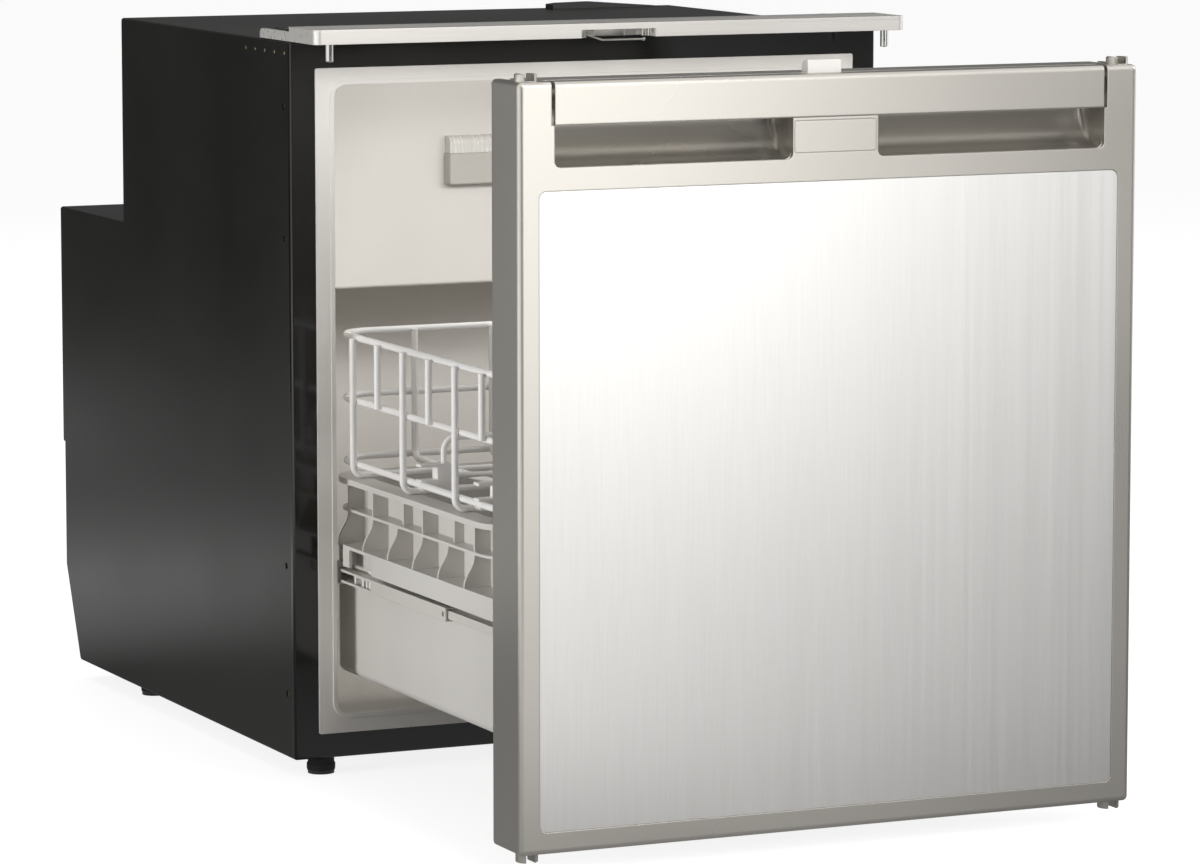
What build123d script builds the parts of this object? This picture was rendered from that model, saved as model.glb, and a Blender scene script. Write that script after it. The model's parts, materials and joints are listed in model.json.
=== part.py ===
from build123d import *
from math import cos, pi, sin
import os

# Drawer fridge: a foamed cabinet with a stepped back, and a drawer front that carries
# a plastic tub and a wire basket out on telescopic runners.
# Millimetres. X to the right, Y to the back, Z up. The drawer is modelled pulled out.
# The builders below work from the cabinet's front plane (Y 0) and its bottom panel (Z 0).

# Cabinet
cabinet_width = 448.0
cabinet_height = 497.5
upper_depth = 342.0
step_height = 346.5
lower_depth = 481.5
chamfer_height = 71.0
chamfer_depth = 30.5
casing_sheet = 1.0
seam_y = 105.5
border_depth = 5.0
border_edge_radius = 2.0
border_side_width = 18.0
border_bottom_width = 17.3
border_top_width = 18.2
flange_sheet = 2.0
flange_proud = 1.0
flange_corner_radius = 1.5
foot_height = 12.0
foot_diameter = 20.0
foot_stem_diameter = 18.6
foot_sole_height = 7.0
foot_edge_radius = 4.0
foot_side_inset = 24.0
foot_front_y = 12.0
foot_rear_inset = 129.5

# Side mounting holes
mount_hole_diameter = 4.5
mount_hole_y = 13.5
mount_lower_z = 45.0
mount_lower_spacing = 89.7
mount_upper_drop = 135.5
mount_upper_spacing = 91.0
mount_pocket_diameter = 9.0
mount_pocket_depth = 9.0
trim_hole_diameter = 3.4
trim_hole_drop = 8.0
trim_hole_first_y = 12.3
trim_hole_pitch = 18.3
trim_hole_count = 5

# Cavity
flange_side_width = 13.4
flange_bottom_width = 13.2
flange_top_width = 11.5
mouth_radius = 9.0
liner_wall = 2.0
lip_width = 3.0
lip_proud = 1.0
machine_room_depth = 83.5
machine_wall_sheet = 1.0
low_wall_thickness = 22.0
high_wall_thickness = 42.0
step_wall_thickness = 46.5

# Evaporator, its cover and the control housing
cover_depth = 38.0
cover_side_gap = 2.6
cover_top_gap = 1.8
cover_overhang = 2.3
cover_sheet = 2.0
cover_corner_radius = 3.0
cover_edge_radius = 2.5
evaporator_front_gap = 22.0
evaporator_side_gap = 22.0
evaporator_bottom_gap = 14.3
evaporator_top_gap = 16.0
evaporator_sheet = 2.0
evaporator_stud_diameter = 9.0
evaporator_stud_inset = 12.0
channel_diameter = 6.0
channel_rows = 6
channel_end_gap = 18.0
housing_left = 0.0
housing_width = 130.0
housing_height = 23.6
housing_drop = 69.4
housing_proud = 12.0
housing_edge_radius = 1.6
lens_height = 12.4
lens_proud = 10.0
lens_end_inset = 1.0
knob_inset = 25.0
knob_diameter = 17.0
knob_length = 9.0
knob_flute_diameter = 1.6
knob_flute_count = 12
knob_shaft_diameter = 5.0
knob_gap = 0.3

# Top bar with its catch
bar_setback = 4.0
bar_rear_y = 1.7
bar_gap = 0.5
bar_height = 10.0
bar_corner_radius = 5.0
arm_length = 55.3
arm_thickness = 3.0
arm_height = 6.5
foot_plate_width = 22.0
foot_plate_height = 3.1
disc_diameter = 10.6
disc_height = 4.4
disc_side_inset = 14.5
disc_first_gap = 28.3
disc_pitch = 20.0
disc_count = 2
disc_socket_radius = 2.2
disc_socket_depth = 2.0
pin_side_inset = 13.0
pin_setback = 7.0
pin_diameter = 5.6
pin_length = 12.0
pin_depth = 4.0
pocket_left = -27.0
pocket_right = 29.5
pocket_depth = 25.0
pocket_height = 5.7
striker_half_width = 16.0
striker_setback = 1.0
striker_gap = 1.3
striker_sheet = 0.8
striker_camber = 2.0
lever_pivot_x = -23.0
lever_setback = 6.0
lever_root_height = 1.2
lever_drop = 3.6
lever_knee_x = -9.0
lever_end_x = 21.5
lever_sheet = 1.2
lever_depth = 3.0
lever_pin_diameter = 2.4
lever_head_diameter = 4.0
lever_head_height = 0.9
knob_ball_diameter = 2.6
catch_pin_diameter = 3.6
catch_pin_length = 5.0
catch_pin_x = 22.6
catch_pin_pitch = 4.4
catch_pin_count = 2

# Roof wedge
wedge_side_inset = 17.0
wedge_length = 89.6
wedge_height = 4.6
wedge_width = 14.0
wedge_peak = 34.6
wedge_rise = 3.2

# Drawer front
travel = 329.0
closed_gap = 7.0
front_side_inset = 3.5
front_bottom = 4.0
front_top_drop = 5.0
front_thickness = 44.0
front_edge_radius = 3.4
bezel_wall = 2.5
bezel_face = 3.0
frame_side_width = 14.0
frame_bottom_width = 14.2
header_height = 68.2
panel_radius = 5.0
panel_thickness = 2.6
panel_sunk = 0.4
panel_gap = 0.15
band_side_inset = 25.0
band_height = 27.5
band_gap = 2.5
band_wall = 2.6
band_flange = 12.6
band_swing_gap = 1.2
band_cheek = 4.0
band_cheek_drop = 4.5
grip_inner_x = 30.3
grip_overlap = 0.5
grip_height = 26.3
grip_depth = 28.0
grip_headroom = 9.0
grip_radius = 4.0
grip_end_radius = 5.0
grip_wall = 2.4
plate_inset = 1.3
plate_top_gap = 2.0
plate_bottom_gap = 4.0
plate_thickness = 1.4
plate_radius = 1.5
plate_gap = 0.1
handle_pin_diameter = 4.0
handle_pin_grip = 5.4
handle_pin_setback = 8.5
handle_pin_drop = 7.0
handle_pin_clearance = 0.25
handle_lug_drop = 5.0
cap_diameter = 14.4
cap_proud = 4.8
cap_sunk = 9.0
cap_slot_width = 6.4
cap_slot_floor_gap = 0.6
cap_clearance = 0.15
foot_cap_proud = 5.5
bolt_half_width = 12.0
bolt_setback = 12.6
bolt_depth = 8.5
bolt_proud = 8.0
bolt_length = 20.0
bolt_lead = 3.0
bolt_clearance = 0.4
bolt_stroke = 4.5
latch_wall = 2.0
spring_height = 6.0
spring_sheet = 0.5
spring_gap = 0.4

# Drawer inner side
back_plate_sheet = 2.0
plug_side_gap = 6.6
plug_bottom_gap = 7.5
plug_top_gap = 7.8
plug_depth = 30.0
plug_wall = 2.5
plug_radius = 8.0
plug_notch_gap = 4.5
plug_notch_inset = 2.0
gasket_width = 11.4
gasket_lip_gap = 0.8
gasket_face_gap = 0.4
gasket_radius = 12.0

# Runners
channel_side_gap = 1.4
channel_sheet = 1.2
channel_width = 10.7
channel_bottom = 121.5
channel_height = 12.8
channel_front_y = 1.5
channel_rear_gap = 66.0
rivet_diameter = 9.0
rivet_inset = 40.0
slide_gap = 0.6
middle_sheet = 1.0
middle_lip_setback = 2.1
middle_front_y = -178.0
middle_rear_gap = 8.0
middle_block_length = 9.0
middle_hole_diameter = 3.6
middle_window_edge = 1.7
middle_window_length = 57.0
middle_closed_inset = 13.0
inner_gap = 0.7
inner_side_gap = 1.0
inner_width = 9.4
inner_sheet = 1.2
inner_rear_gap = 92.0
clip_length = 29.0
clip_prong_start = 5.0
clip_prong_width = 3.0
clip_prong_pitch = 7.0
clip_prong_count = 2
clip_tab_height = 4.0
clip_tab_thickness = 2.2

# Tub
tub_rear_gap = 5.0
tub_floor_gap = 24.5
tub_wall = 2.5
tub_radius = 14.0
skirt_side_gap = 3.6
skirt_height = 15.0
skirt_runner_gap = 0.7
skirt_rear_gap = 44.0
skirt_wall = 2.2
skirt_notch_reach = 20.0
skirt_notch_height = 12.7
deck_step = 8.3
upper_front_gap = 56.0
upper_rear_gap = 6.0
upper_height = 45.0
upper_radius = 26.0
rim_height = 4.0
rim_inset = 5.0
rim_overhang_y = 4.0
mid_rib_inset = 3.0
mid_rib_thickness = 2.0
rib_thickness = 2.0
rib_rear_gap = 31.0
rib_pitch = 44.2
rib_foot_inset = 0.4
short_rib_drop = 4.4
pocket_side_gap = 18.0
pocket_edge_gap = 6.0

# Basket and dividers
wire_diameter = 3.8
wire_weld = 0.4
basket_side_inset = 1.0
basket_front_overhang = 2.0
basket_rear_inset = 1.0
basket_radius = 24.0
basket_top_gap = 4.7
basket_low_height = 9.5
basket_long_inset = 42.0
basket_upright_pitch = 45.0
basket_bend_radius = 7.0
basket_floor_pitch = 59.0
divider_rear_inset = 156.0
divider_front_inset = 39.0
divider_side_gap = 17.0
divider_height = 26.0
divider_wire_gap = 5.5
divider_radius = 9.0
divider_clip_overhang = 1.1
divider_clip_drop = 3.9
divider_clip_height = 18.4
divider_clip_length = 9.0
divider_clip_gap = 0.3
divider_clip_chamfer = 1.9

# Machine room
compressor_diameter = 74.0
compressor_length = 172.0
compressor_side_inset = 164.0
compressor_rear_inset = 41.5
compressor_seam_width = 4.0
compressor_seam_proud = 1.5
bracket_half_length = 62.0
bracket_flange = 8.0
bracket_front_reach = 32.0
bracket_rear_reach = 7.0
bracket_height = 24.0
bracket_sheet = 2.0
grommet_diameter = 14.0
grommet_height = 9.0
grommet_inset = 9.0
grommet_groove = 1.5
sole_thickness = 2.5
saddle_height = 12.5
saddle_sunk = 6.0
saddle_width = 8.0
saddle_reach = 45.0
condenser_side_inset = 24.0
condenser_compressor_gap = 34.0
condenser_bottom = 150.0
condenser_top_gap = 34.5
condenser_rear_gap = 5.5
condenser_depth = 24.0
condenser_sheet = 1.2
condenser_leg_length = 24.0
condenser_leg_overlap = 8.0
condenser_leg_gap = 2.0
fin_count = 17
condenser_tube_diameter = 8.0
condenser_tube_rows = 7
fan_size = 92.0
fan_depth = 24.0
fan_bore = 88.0
fan_hub_diameter = 36.0
fan_strut = 4.0
fan_rotor_gap = 0.5
fan_blade_gap = 1.5
fan_blade_sheet = 1.6
fan_blade_chord = 17.0
fan_blade_angle = 35.0
fan_blade_count = 7
module_left_reach = 100.0
module_right_reach = 12.0
module_top_gap = 34.5
module_height = 112.0
module_depth = 40.0
drier_diameter = 18.0
drier_length = 86.0
drier_side_inset = 36.0
drier_bottom = 150.0
pipe_diameter = 6.0
pipe_clearance = 0.3
pipe_bend = 12.0
pipe_bore_height = 25.0
suction_reach = 44.0
capillary_reach = 76.0
stub_length = 4.0
stub_diameter = 10.0
tube_overhang = 4.0
liquid_reach = 20.4
liquid_drop = 12.0
rear_cover_bottom = 165.0
rear_cover_proud = 5.0
rear_cover_sheet = 1.5
rear_opening_side = 16.0
rear_opening_margin = 9.0
rear_opening_depth = 5.0
grille_side_inset = 4.0
grille_bottom_gap = 21.0
grille_top_gap = 24.5
grille_radius = 4.0
grille_bar = 4.0
grille_edge = 6.0
grille_slot_pitch = 10.0
grille_slot_height = 5.0
grille_sheet = 2.5
grille_sunk = 0.5
louvre_left_reach = 20.0
louvre_right_reach = 110.0
cover_screw_diameter = 8.0
cover_screw_head = 1.5
cover_screw_inset = 9.0
cover_screw_margin = 4.5
cross_length = 4.4
cross_width = 1.0
cross_depth = 0.9
gland_reach = 90.0
gland_drop = 47.0
gland_diameter = 16.0
gland_bore = 7.5
gland_flange_width = 2.5
gland_proud = 1.5

# Worked-out places: cabinet
half_width = cabinet_width / 2
foot_x = half_width - foot_side_inset
foot_rear_y = lower_depth - foot_rear_inset
flange_half_width = half_width - border_side_width
flange_bottom = border_bottom_width
flange_top = cabinet_height - border_top_width
mount_upper_z = cabinet_height - mount_upper_drop
trim_hole_z = cabinet_height - trim_hole_drop
mouth_half_width = flange_half_width - flange_side_width
mouth_bottom = flange_bottom + flange_bottom_width
mouth_top = flange_top - flange_top_width
machine_wall_y = lower_depth - machine_room_depth
cavity_depth_low = machine_wall_y - low_wall_thickness
cavity_depth_high = upper_depth - high_wall_thickness
cavity_step_z = step_height - step_wall_thickness
cover_face_y = cavity_depth_high - cover_depth
cover_half_width = mouth_half_width - cover_side_gap
cover_bottom = cavity_step_z - cover_overhang
cover_top = mouth_top - cover_top_gap
evaporator_y = cover_face_y + evaporator_front_gap
evaporator_half_width = cover_half_width - evaporator_side_gap
evaporator_bottom = cover_bottom + evaporator_bottom_gap
evaporator_top = cover_top - evaporator_top_gap
housing_right = housing_left + housing_width
housing_top = cover_top - housing_drop
housing_bottom = housing_top - housing_height
knob_x = housing_right - knob_inset

# Worked-out places: drawer front and top bar
front_half_width = half_width - front_side_inset
front_top = cabinet_height - front_top_drop
front_back_y = -travel - closed_gap
front_face_y = front_back_y - front_thickness
panel_half_width = front_half_width - frame_side_width
panel_bottom = front_bottom + frame_bottom_width
panel_top = front_top - header_height
band_half_width = front_half_width - band_side_inset
band_bottom = front_top - band_height
grip_outer_x = band_half_width + grip_overlap
grip_bottom = band_bottom - grip_height
plate_half_width = grip_inner_x - plate_inset
handle_pin_y = front_face_y + handle_pin_setback
handle_pin_z = front_top - handle_pin_drop
bar_front_y = front_face_y + travel + bar_setback
bar_bottom = cabinet_height + bar_gap
bar_top = bar_bottom + bar_height
arm_rear_y = bar_rear_y + arm_length
foot_plate_inner_x = half_width - arm_thickness - foot_plate_width
foot_plate_top = cabinet_height + foot_plate_height
disc_x = half_width - disc_side_inset
disc_first_y = bar_rear_y + disc_first_gap
pin_x = half_width - pin_side_inset
pin_y = bar_front_y + pin_setback
cap_x = pin_x
cap_y = pin_y - travel
slot_floor_z = bar_bottom - pin_length - cap_slot_floor_gap
pocket_rear_y = bar_front_y + pocket_depth
striker_front_y = bar_front_y + striker_setback
striker_bottom = bar_bottom + striker_gap
lever_y = bar_front_y + lever_setback
lever_root_z = bar_bottom + lever_root_height
lever_arm_z = lever_root_z - lever_drop
bolt_front_y = bar_front_y + bolt_setback - travel
latch_floor_z = front_top + bolt_proud - bolt_length - bolt_stroke - spring_height
wedge_right = half_width - wedge_side_inset
wedge_left = wedge_right - wedge_length

# Worked-out places: drawer inner side, runners, tub and basket
plug_half_width = mouth_half_width - plug_side_gap
plug_bottom = mouth_bottom + plug_bottom_gap
plug_top = mouth_top - plug_top_gap
plug_rear_y = front_back_y + plug_depth
gasket_inner_x = mouth_half_width + lip_width + gasket_lip_gap
gasket_inner_bottom = mouth_bottom - lip_width - gasket_lip_gap
gasket_inner_top = mouth_top + lip_width + gasket_lip_gap
gasket_thickness = closed_gap - flange_proud - gasket_face_gap
channel_web_x = mouth_half_width - channel_side_gap
channel_lip_x = channel_web_x - channel_width
channel_top = channel_bottom + channel_height
channel_rear_y = cavity_depth_low - channel_rear_gap
middle_web_x = channel_web_x - channel_sheet - slide_gap
middle_lip_x = channel_lip_x + middle_lip_setback
middle_bottom = channel_bottom + channel_sheet + slide_gap
middle_top = channel_top - channel_sheet - slide_gap
middle_travel = middle_closed_inset - middle_front_y - middle_block_length
middle_rear_y = channel_rear_y - middle_travel - middle_rear_gap
inner_lip_x = middle_web_x - middle_sheet - inner_side_gap
inner_bottom = middle_bottom + middle_sheet + inner_gap
inner_top = middle_top - middle_sheet - inner_gap
tub_half_width = inner_lip_x - inner_width
tub_bottom = mouth_bottom + tub_floor_gap
tub_rear_y = cavity_depth_low - tub_rear_gap - travel
inner_rear_y = tub_rear_y - inner_rear_gap
clip_rear_y = inner_rear_y + clip_length
notch_front_y = (inner_rear_y + clip_rear_y) / 2 - skirt_notch_reach
notch_rear_y = notch_front_y + 2 * skirt_notch_reach
plug_notch_x = tub_half_width - plug_notch_inset
plug_notch_bottom = channel_bottom - plug_notch_gap
plug_notch_top = channel_top + plug_notch_gap
skirt_half_width = mouth_half_width - skirt_side_gap
skirt_rear_y = tub_rear_y - skirt_rear_gap
deck_z = channel_top + skirt_runner_gap + skirt_height
upper_half_width = tub_half_width - deck_step
upper_front_y = plug_rear_y + upper_front_gap
upper_rear_y = tub_rear_y - upper_rear_gap
rim_top = deck_z + upper_height
rim_half_width = skirt_half_width - rim_inset
mid_rib_half_width = rim_half_width - mid_rib_inset
mid_rib_z = (deck_z + rim_top) / 2
rib_first_y = upper_rear_y - rib_rear_gap
rib_count = int((rib_first_y - upper_front_y - upper_radius) / rib_pitch) + 1
wire_radius = wire_diameter / 2
wire_step = wire_diameter - wire_weld
basket_half_width = tub_half_width - basket_side_inset
basket_front_y = upper_front_y - basket_front_overhang
basket_rear_y = tub_rear_y - basket_rear_inset
basket_rim_z = cover_bottom - basket_top_gap
basket_low_z = rim_top + basket_low_height
basket_mid_z = (basket_rim_z + basket_low_z) / 2
upright_first_y = basket_rear_y - basket_long_inset
upright_count = int((upright_first_y - basket_front_y - basket_radius) / basket_upright_pitch) + 1
floor_wire_reach = int((basket_half_width - basket_radius) / basket_floor_pitch)
divider_rear_y = basket_rear_y - divider_rear_inset
divider_front_y = basket_front_y + divider_front_inset
divider_half_width = basket_half_width - divider_side_gap
divider_bottom_z = basket_low_z + divider_wire_gap
divider_clip_reach = basket_half_width + divider_clip_overhang
divider_clip_bottom = basket_low_z - divider_clip_drop
divider_clip_top = divider_clip_bottom + divider_clip_height

# Worked-out places: machine room
compressor_x = half_width - compressor_side_inset
compressor_left = compressor_x - compressor_length / 2
compressor_y = lower_depth - compressor_rear_inset
bracket_front_y = compressor_y - bracket_front_reach
bracket_rear_y = compressor_y + bracket_rear_reach
bracket_top = casing_sheet + bracket_height
sole_bottom = bracket_top + grommet_height
sole_top = sole_bottom + sole_thickness
compressor_z = sole_top + saddle_height + compressor_diameter / 2
condenser_left = condenser_side_inset - half_width
condenser_right = compressor_left - condenser_compressor_gap
condenser_top = step_height - condenser_top_gap
condenser_rear_y = lower_depth - condenser_rear_gap
condenser_front_y = condenser_rear_y - condenser_depth
tube_row_height = (condenser_top - condenser_bottom) / condenser_tube_rows
fan_x = (condenser_left + condenser_right) / 2
fan_z = (condenser_bottom + condenser_top) / 2
module_top = step_height - module_top_gap
module_bottom = module_top - module_height
drier_x = half_width - drier_side_inset
drier_y = compressor_y
drier_top = drier_bottom + drier_length
pipe_bore_z = cavity_step_z + pipe_bore_height
suction_x = compressor_x + suction_reach
suction_stub_z = compressor_z + compressor_diameter / 2 + stub_length
capillary_x = compressor_x + capillary_reach
cover_rear_y = lower_depth + rear_cover_proud
rear_opening_half_width = half_width - rear_opening_side
rear_opening_bottom = rear_cover_bottom + rear_opening_margin
rear_opening_top = step_height - rear_opening_margin
grille_left = condenser_left + grille_side_inset
grille_right = condenser_right - grille_side_inset
grille_bottom = rear_cover_bottom + grille_bottom_gap
grille_top = step_height - grille_top_gap
grille_rows = int((grille_top - grille_bottom) / grille_slot_pitch)
gland_x = compressor_x + gland_reach
gland_z = rear_cover_bottom - gland_drop
object_rear_y = cover_rear_y + cover_screw_head
origin_shift = (0, -(front_face_y + object_rear_y) / 2, foot_height)


def block(x0, x1, y0, y1, z0, z1):
    """A box between its limits."""
    middle = ((x0 + x1) / 2, (y0 + y1) / 2, (z0 + z1) / 2)
    return Pos(*middle) * Box(x1 - x0, y1 - y0, z1 - z0)


def slab(x0, x1, z0, z1, radius, y0, y1):
    """A plate that stands across Y, with rounded corners, from y0 back to y1."""
    face = Plane(origin=((x0 + x1) / 2, y1, (z0 + z1) / 2), x_dir=(1, 0, 0), z_dir=(0, -1, 0))
    outline = RectangleRounded(x1 - x0, z1 - z0, radius)
    return extrude(face * outline, amount=y1 - y0)


def tray(half, y0, y1, radius, z0, z1):
    """A block that lies in plan, centred in X, with rounded upright edges."""
    outline = Pos(0, (y0 + y1) / 2, z0) * RectangleRounded(2 * half, y1 - y0, radius)
    return extrude(outline, amount=z1 - z0)


def rod(start, end, diameter):
    """A round bar between two points."""
    line = Vector(*end) - Vector(*start)
    place = Plane(origin=start, z_dir=line)
    return extrude(place * Circle(diameter / 2), amount=line.length)


def side_profile(points, half):
    """A body of constant side view, given as (y, z) points, across the width."""
    outline = make_face(Polyline(*[(-half, y, z) for y, z in points], close=True))
    return extrude(outline, amount=2 * half, dir=(1, 0, 0))


def both_sides(shape):
    """The shape and its mirror image in the middle plane."""
    return shape + mirror(shape, about=Plane.YZ)


def wire_along(line, start, direction, diameter):
    """A round wire swept along a line."""
    section = Plane(origin=start, z_dir=direction) * Circle(diameter / 2)
    return sweep(section, path=line)


def save(name, *shapes):
    """Write the solids as one node, moved to the object's own origin."""
    solids = []
    for shape in shapes:
        solids.extend((Pos(*origin_shift) * shape).solids())
    export_step(Compound(children=solids), f"parts/{name}.step")


# Cabinet shell


def casing_points(inset):
    """The side view of the cabinet, drawn in by a wall."""
    slope = chamfer_depth / chamfer_height
    corner = chamfer_height + inset
    return [
        (0, inset),
        (lower_depth - chamfer_depth - inset * (1 - slope / 2), inset),
        (lower_depth - inset, corner),
        (lower_depth - inset, step_height - inset),
        (upper_depth - inset, step_height - inset),
        (upper_depth - inset, cabinet_height - inset),
        (0, cabinet_height - inset),
    ]


def soften_long_edges(body):
    """Round the four long edges that run from front to back."""
    long_edges = body.edges().filter_by(Axis.Y).filter_by(lambda e: e.length > upper_depth / 2)
    return fillet(long_edges, border_edge_radius)


def casing_shell():
    """The whole folded casing before it is split at the seam."""
    outside = soften_long_edges(side_profile(casing_points(0), half_width))
    inside = side_profile(casing_points(casing_sheet), half_width - casing_sheet)
    return outside - inside


def mount_hole_places():
    """Height of each side mounting hole."""
    lower = [mount_lower_z, mount_lower_z + mount_lower_spacing]
    upper = [mount_upper_z, mount_upper_z + mount_upper_spacing]
    return lower + upper


def across(y, z, diameter):
    """A drill through both sides of the casing."""
    return rod((-half_width - 1, y, z), (half_width + 1, y, z), diameter)


def build_front_casing(shell):
    collar = shell & block(-half_width, half_width, border_depth, seam_y, 0, cabinet_height)
    for z in mount_hole_places():
        collar -= across(mount_hole_y, z, mount_hole_diameter)
    for number in range(trim_hole_count):
        collar -= across(trim_hole_first_y + number * trim_hole_pitch, trim_hole_z, trim_hole_diameter)
    return collar


def build_rear_casing(shell):
    rear = shell & block(-half_width, half_width, seam_y, lower_depth, 0, cabinet_height)
    start = lower_depth - rear_opening_depth
    window = block(-rear_opening_half_width, rear_opening_half_width, start, lower_depth + 1,
                   rear_opening_bottom, rear_opening_top)
    gland_hole = rod((gland_x, start, gland_z), (gland_x, lower_depth + 1, gland_z), gland_diameter)
    return rear - window - gland_hole


def build_front_border():
    ring = slab(-half_width, half_width, 0, cabinet_height, border_edge_radius, 0, border_depth)
    ring = fillet(ring.faces().sort_by(Axis.Y)[0].edges(), border_edge_radius * 0.8)
    window = slab(-flange_half_width, flange_half_width, flange_bottom, flange_top,
                  flange_corner_radius, -1, border_depth + 1)
    return ring - window


def liner_outside(grow):
    """The cavity's body with a wall of this thickness around it."""
    half = mouth_half_width + grow
    bottom = mouth_bottom - grow
    radius = mouth_radius + grow
    low = slab(-half, half, bottom, cavity_step_z + grow, radius, 0, cavity_depth_low + grow)
    high = slab(-half, half, bottom, mouth_top + grow, radius, 0, cavity_depth_high + grow)
    return low + high


def build_liner():
    front = -flange_proud - lip_proud
    flange = slab(-flange_half_width, flange_half_width, flange_bottom, flange_top,
                  flange_corner_radius, -flange_proud, flange_sheet - flange_proud)
    lip = slab(-mouth_half_width - lip_width, mouth_half_width + lip_width, mouth_bottom - lip_width,
               mouth_top + lip_width, mouth_radius + lip_width, front, 0)
    throat = slab(-mouth_half_width, mouth_half_width, mouth_bottom, mouth_top, mouth_radius,
                  front - 1, 1)
    body = flange + lip + liner_outside(liner_wall) - throat - liner_outside(0)
    for hole in pipe_holes():
        body -= hole
    return body


def build_foam():
    inner = half_width - casing_sheet
    roof = cabinet_height - casing_sheet
    ledge = step_height - casing_sheet
    points = [
        (border_depth, casing_sheet),
        (machine_wall_y, casing_sheet),
        (machine_wall_y, ledge),
        (upper_depth - casing_sheet, ledge),
        (upper_depth - casing_sheet, roof),
        (border_depth, roof),
    ]
    foam = soften_long_edges(side_profile(points, inner))
    foam += slab(-flange_half_width, flange_half_width, flange_bottom, flange_top,
                 flange_corner_radius, flange_sheet - flange_proud, border_depth)
    foam -= liner_outside(liner_wall)
    for z in mount_hole_places():
        for side in (-1, 1):
            start = (side * (inner + 1), mount_hole_y, z)
            end = (side * (inner - mount_pocket_depth), mount_hole_y, z)
            foam -= rod(start, end, mount_pocket_diameter)
    for hole in pipe_holes():
        foam -= hole
    return foam


def build_machine_wall():
    inner = half_width - casing_sheet
    wall = block(-inner, inner, machine_wall_y, machine_wall_y + machine_wall_sheet,
                 casing_sheet, step_height - casing_sheet)
    for hole in pipe_holes():
        wall -= hole
    return wall


def build_feet():
    feet = []
    for x in (-foot_x, foot_x):
        for y in (foot_front_y, foot_rear_y):
            stem = Pos(x, y, -foot_height / 2) * Cylinder(foot_stem_diameter / 2, foot_height)
            middle = foot_sole_height / 2 - foot_height
            sole = Pos(x, y, middle) * Cylinder(foot_diameter / 2, foot_sole_height)
            sole = fillet(sole.faces().sort_by(Axis.Z)[0].edges(), foot_edge_radius)
            feet.append(stem + sole)
    return feet


def build_top_wedge():
    """A low ramp on the roof behind the bar, higher at its left end."""
    y1 = upper_depth - border_edge_radius - 0.5
    top = cabinet_height + wedge_height
    points = [
        (wedge_left, cabinet_height),
        (wedge_left, cabinet_height + wedge_rise),
        (wedge_left + wedge_width / 2, top - 0.6),
        (wedge_left + wedge_peak, top),
        (wedge_right, cabinet_height + 0.5),
        (wedge_right, cabinet_height),
    ]
    outline = make_face(Polyline(*[(x, y1, z) for x, z in points], close=True))
    return extrude(outline, amount=wedge_width, dir=(0, -1, 0))


# Top bar and its catch


def build_top_bar():
    bar = block(-half_width, half_width, bar_front_y, bar_rear_y, bar_bottom, bar_top)
    fronts = bar.edges().filter_by(Axis.Z).sort_by(Axis.Y)[0:2]
    bar = fillet(fronts, bar_corner_radius)
    pocket = block(pocket_left, pocket_right, bar_front_y - 1, pocket_rear_y,
                   bar_bottom - 1, bar_bottom + pocket_height)
    bar -= pocket
    for x in (-pin_x, pin_x):
        bar -= rod((x, pin_y, bar_bottom - 1), (x, pin_y, bar_bottom + pin_depth), pin_diameter)
    return bar


def build_bar_arms():
    arm = block(half_width - arm_thickness, half_width, bar_rear_y, arm_rear_y,
                bar_bottom, bar_bottom + arm_height)
    rear_top = arm.edges().filter_by(Axis.X).sort_by(lambda e: e.center().Y + e.center().Z)[-1]
    arm = fillet(rear_top, arm_height * 0.6)
    return both_sides(arm)


def build_bar_foot_plates():
    outer = half_width - arm_thickness
    plate = block(foot_plate_inner_x, outer, bar_rear_y, arm_rear_y, cabinet_height, foot_plate_top)
    under = block(outer, half_width - border_edge_radius, bar_rear_y, arm_rear_y,
                  cabinet_height, bar_bottom)
    return both_sides(plate + under)


def build_bar_screws():
    screws = []
    top = foot_plate_top + disc_height
    for x in (-disc_x, disc_x):
        for number in range(disc_count):
            y = disc_first_y + number * disc_pitch
            head = rod((x, y, foot_plate_top), (x, y, top), disc_diameter)
            head = fillet(head.faces().sort_by(Axis.Z)[-1].edges(), 0.8)
            hexagon = RegularPolygon(disc_socket_radius, 6)
            screws.append(head - Pos(x, y, top) * extrude(hexagon, amount=-disc_socket_depth))
    return screws


def build_bar_pins():
    pins = []
    for x in (-pin_x, pin_x):
        pin = rod((x, pin_y, bar_bottom - pin_length), (x, pin_y, bar_bottom + pin_depth), pin_diameter)
        pins.append(chamfer(pin.faces().sort_by(Axis.Z)[0].edges(), 0.6))
    return pins


def build_striker():
    """A cambered strip across the mouth of the pocket."""
    y = striker_front_y
    inner_y = y + striker_sheet
    half = striker_half_width
    outer = ThreePointArc((-half, y + striker_camber, 0), (0, y, 0), (half, y + striker_camber, 0))
    inner = ThreePointArc((half, inner_y + striker_camber, 0), (0, inner_y, 0),
                          (-half, inner_y + striker_camber, 0))
    ends = [Line(outer @ 1, inner @ 0), Line(inner @ 1, outer @ 0)]
    face = make_face(Wire([outer.edge(), ends[0].edge(), inner.edge(), ends[1].edge()]))
    height = bar_bottom + pocket_height - striker_bottom
    return extrude(Pos(0, 0, striker_bottom) * face, amount=height, dir=(0, 0, 1))


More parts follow.
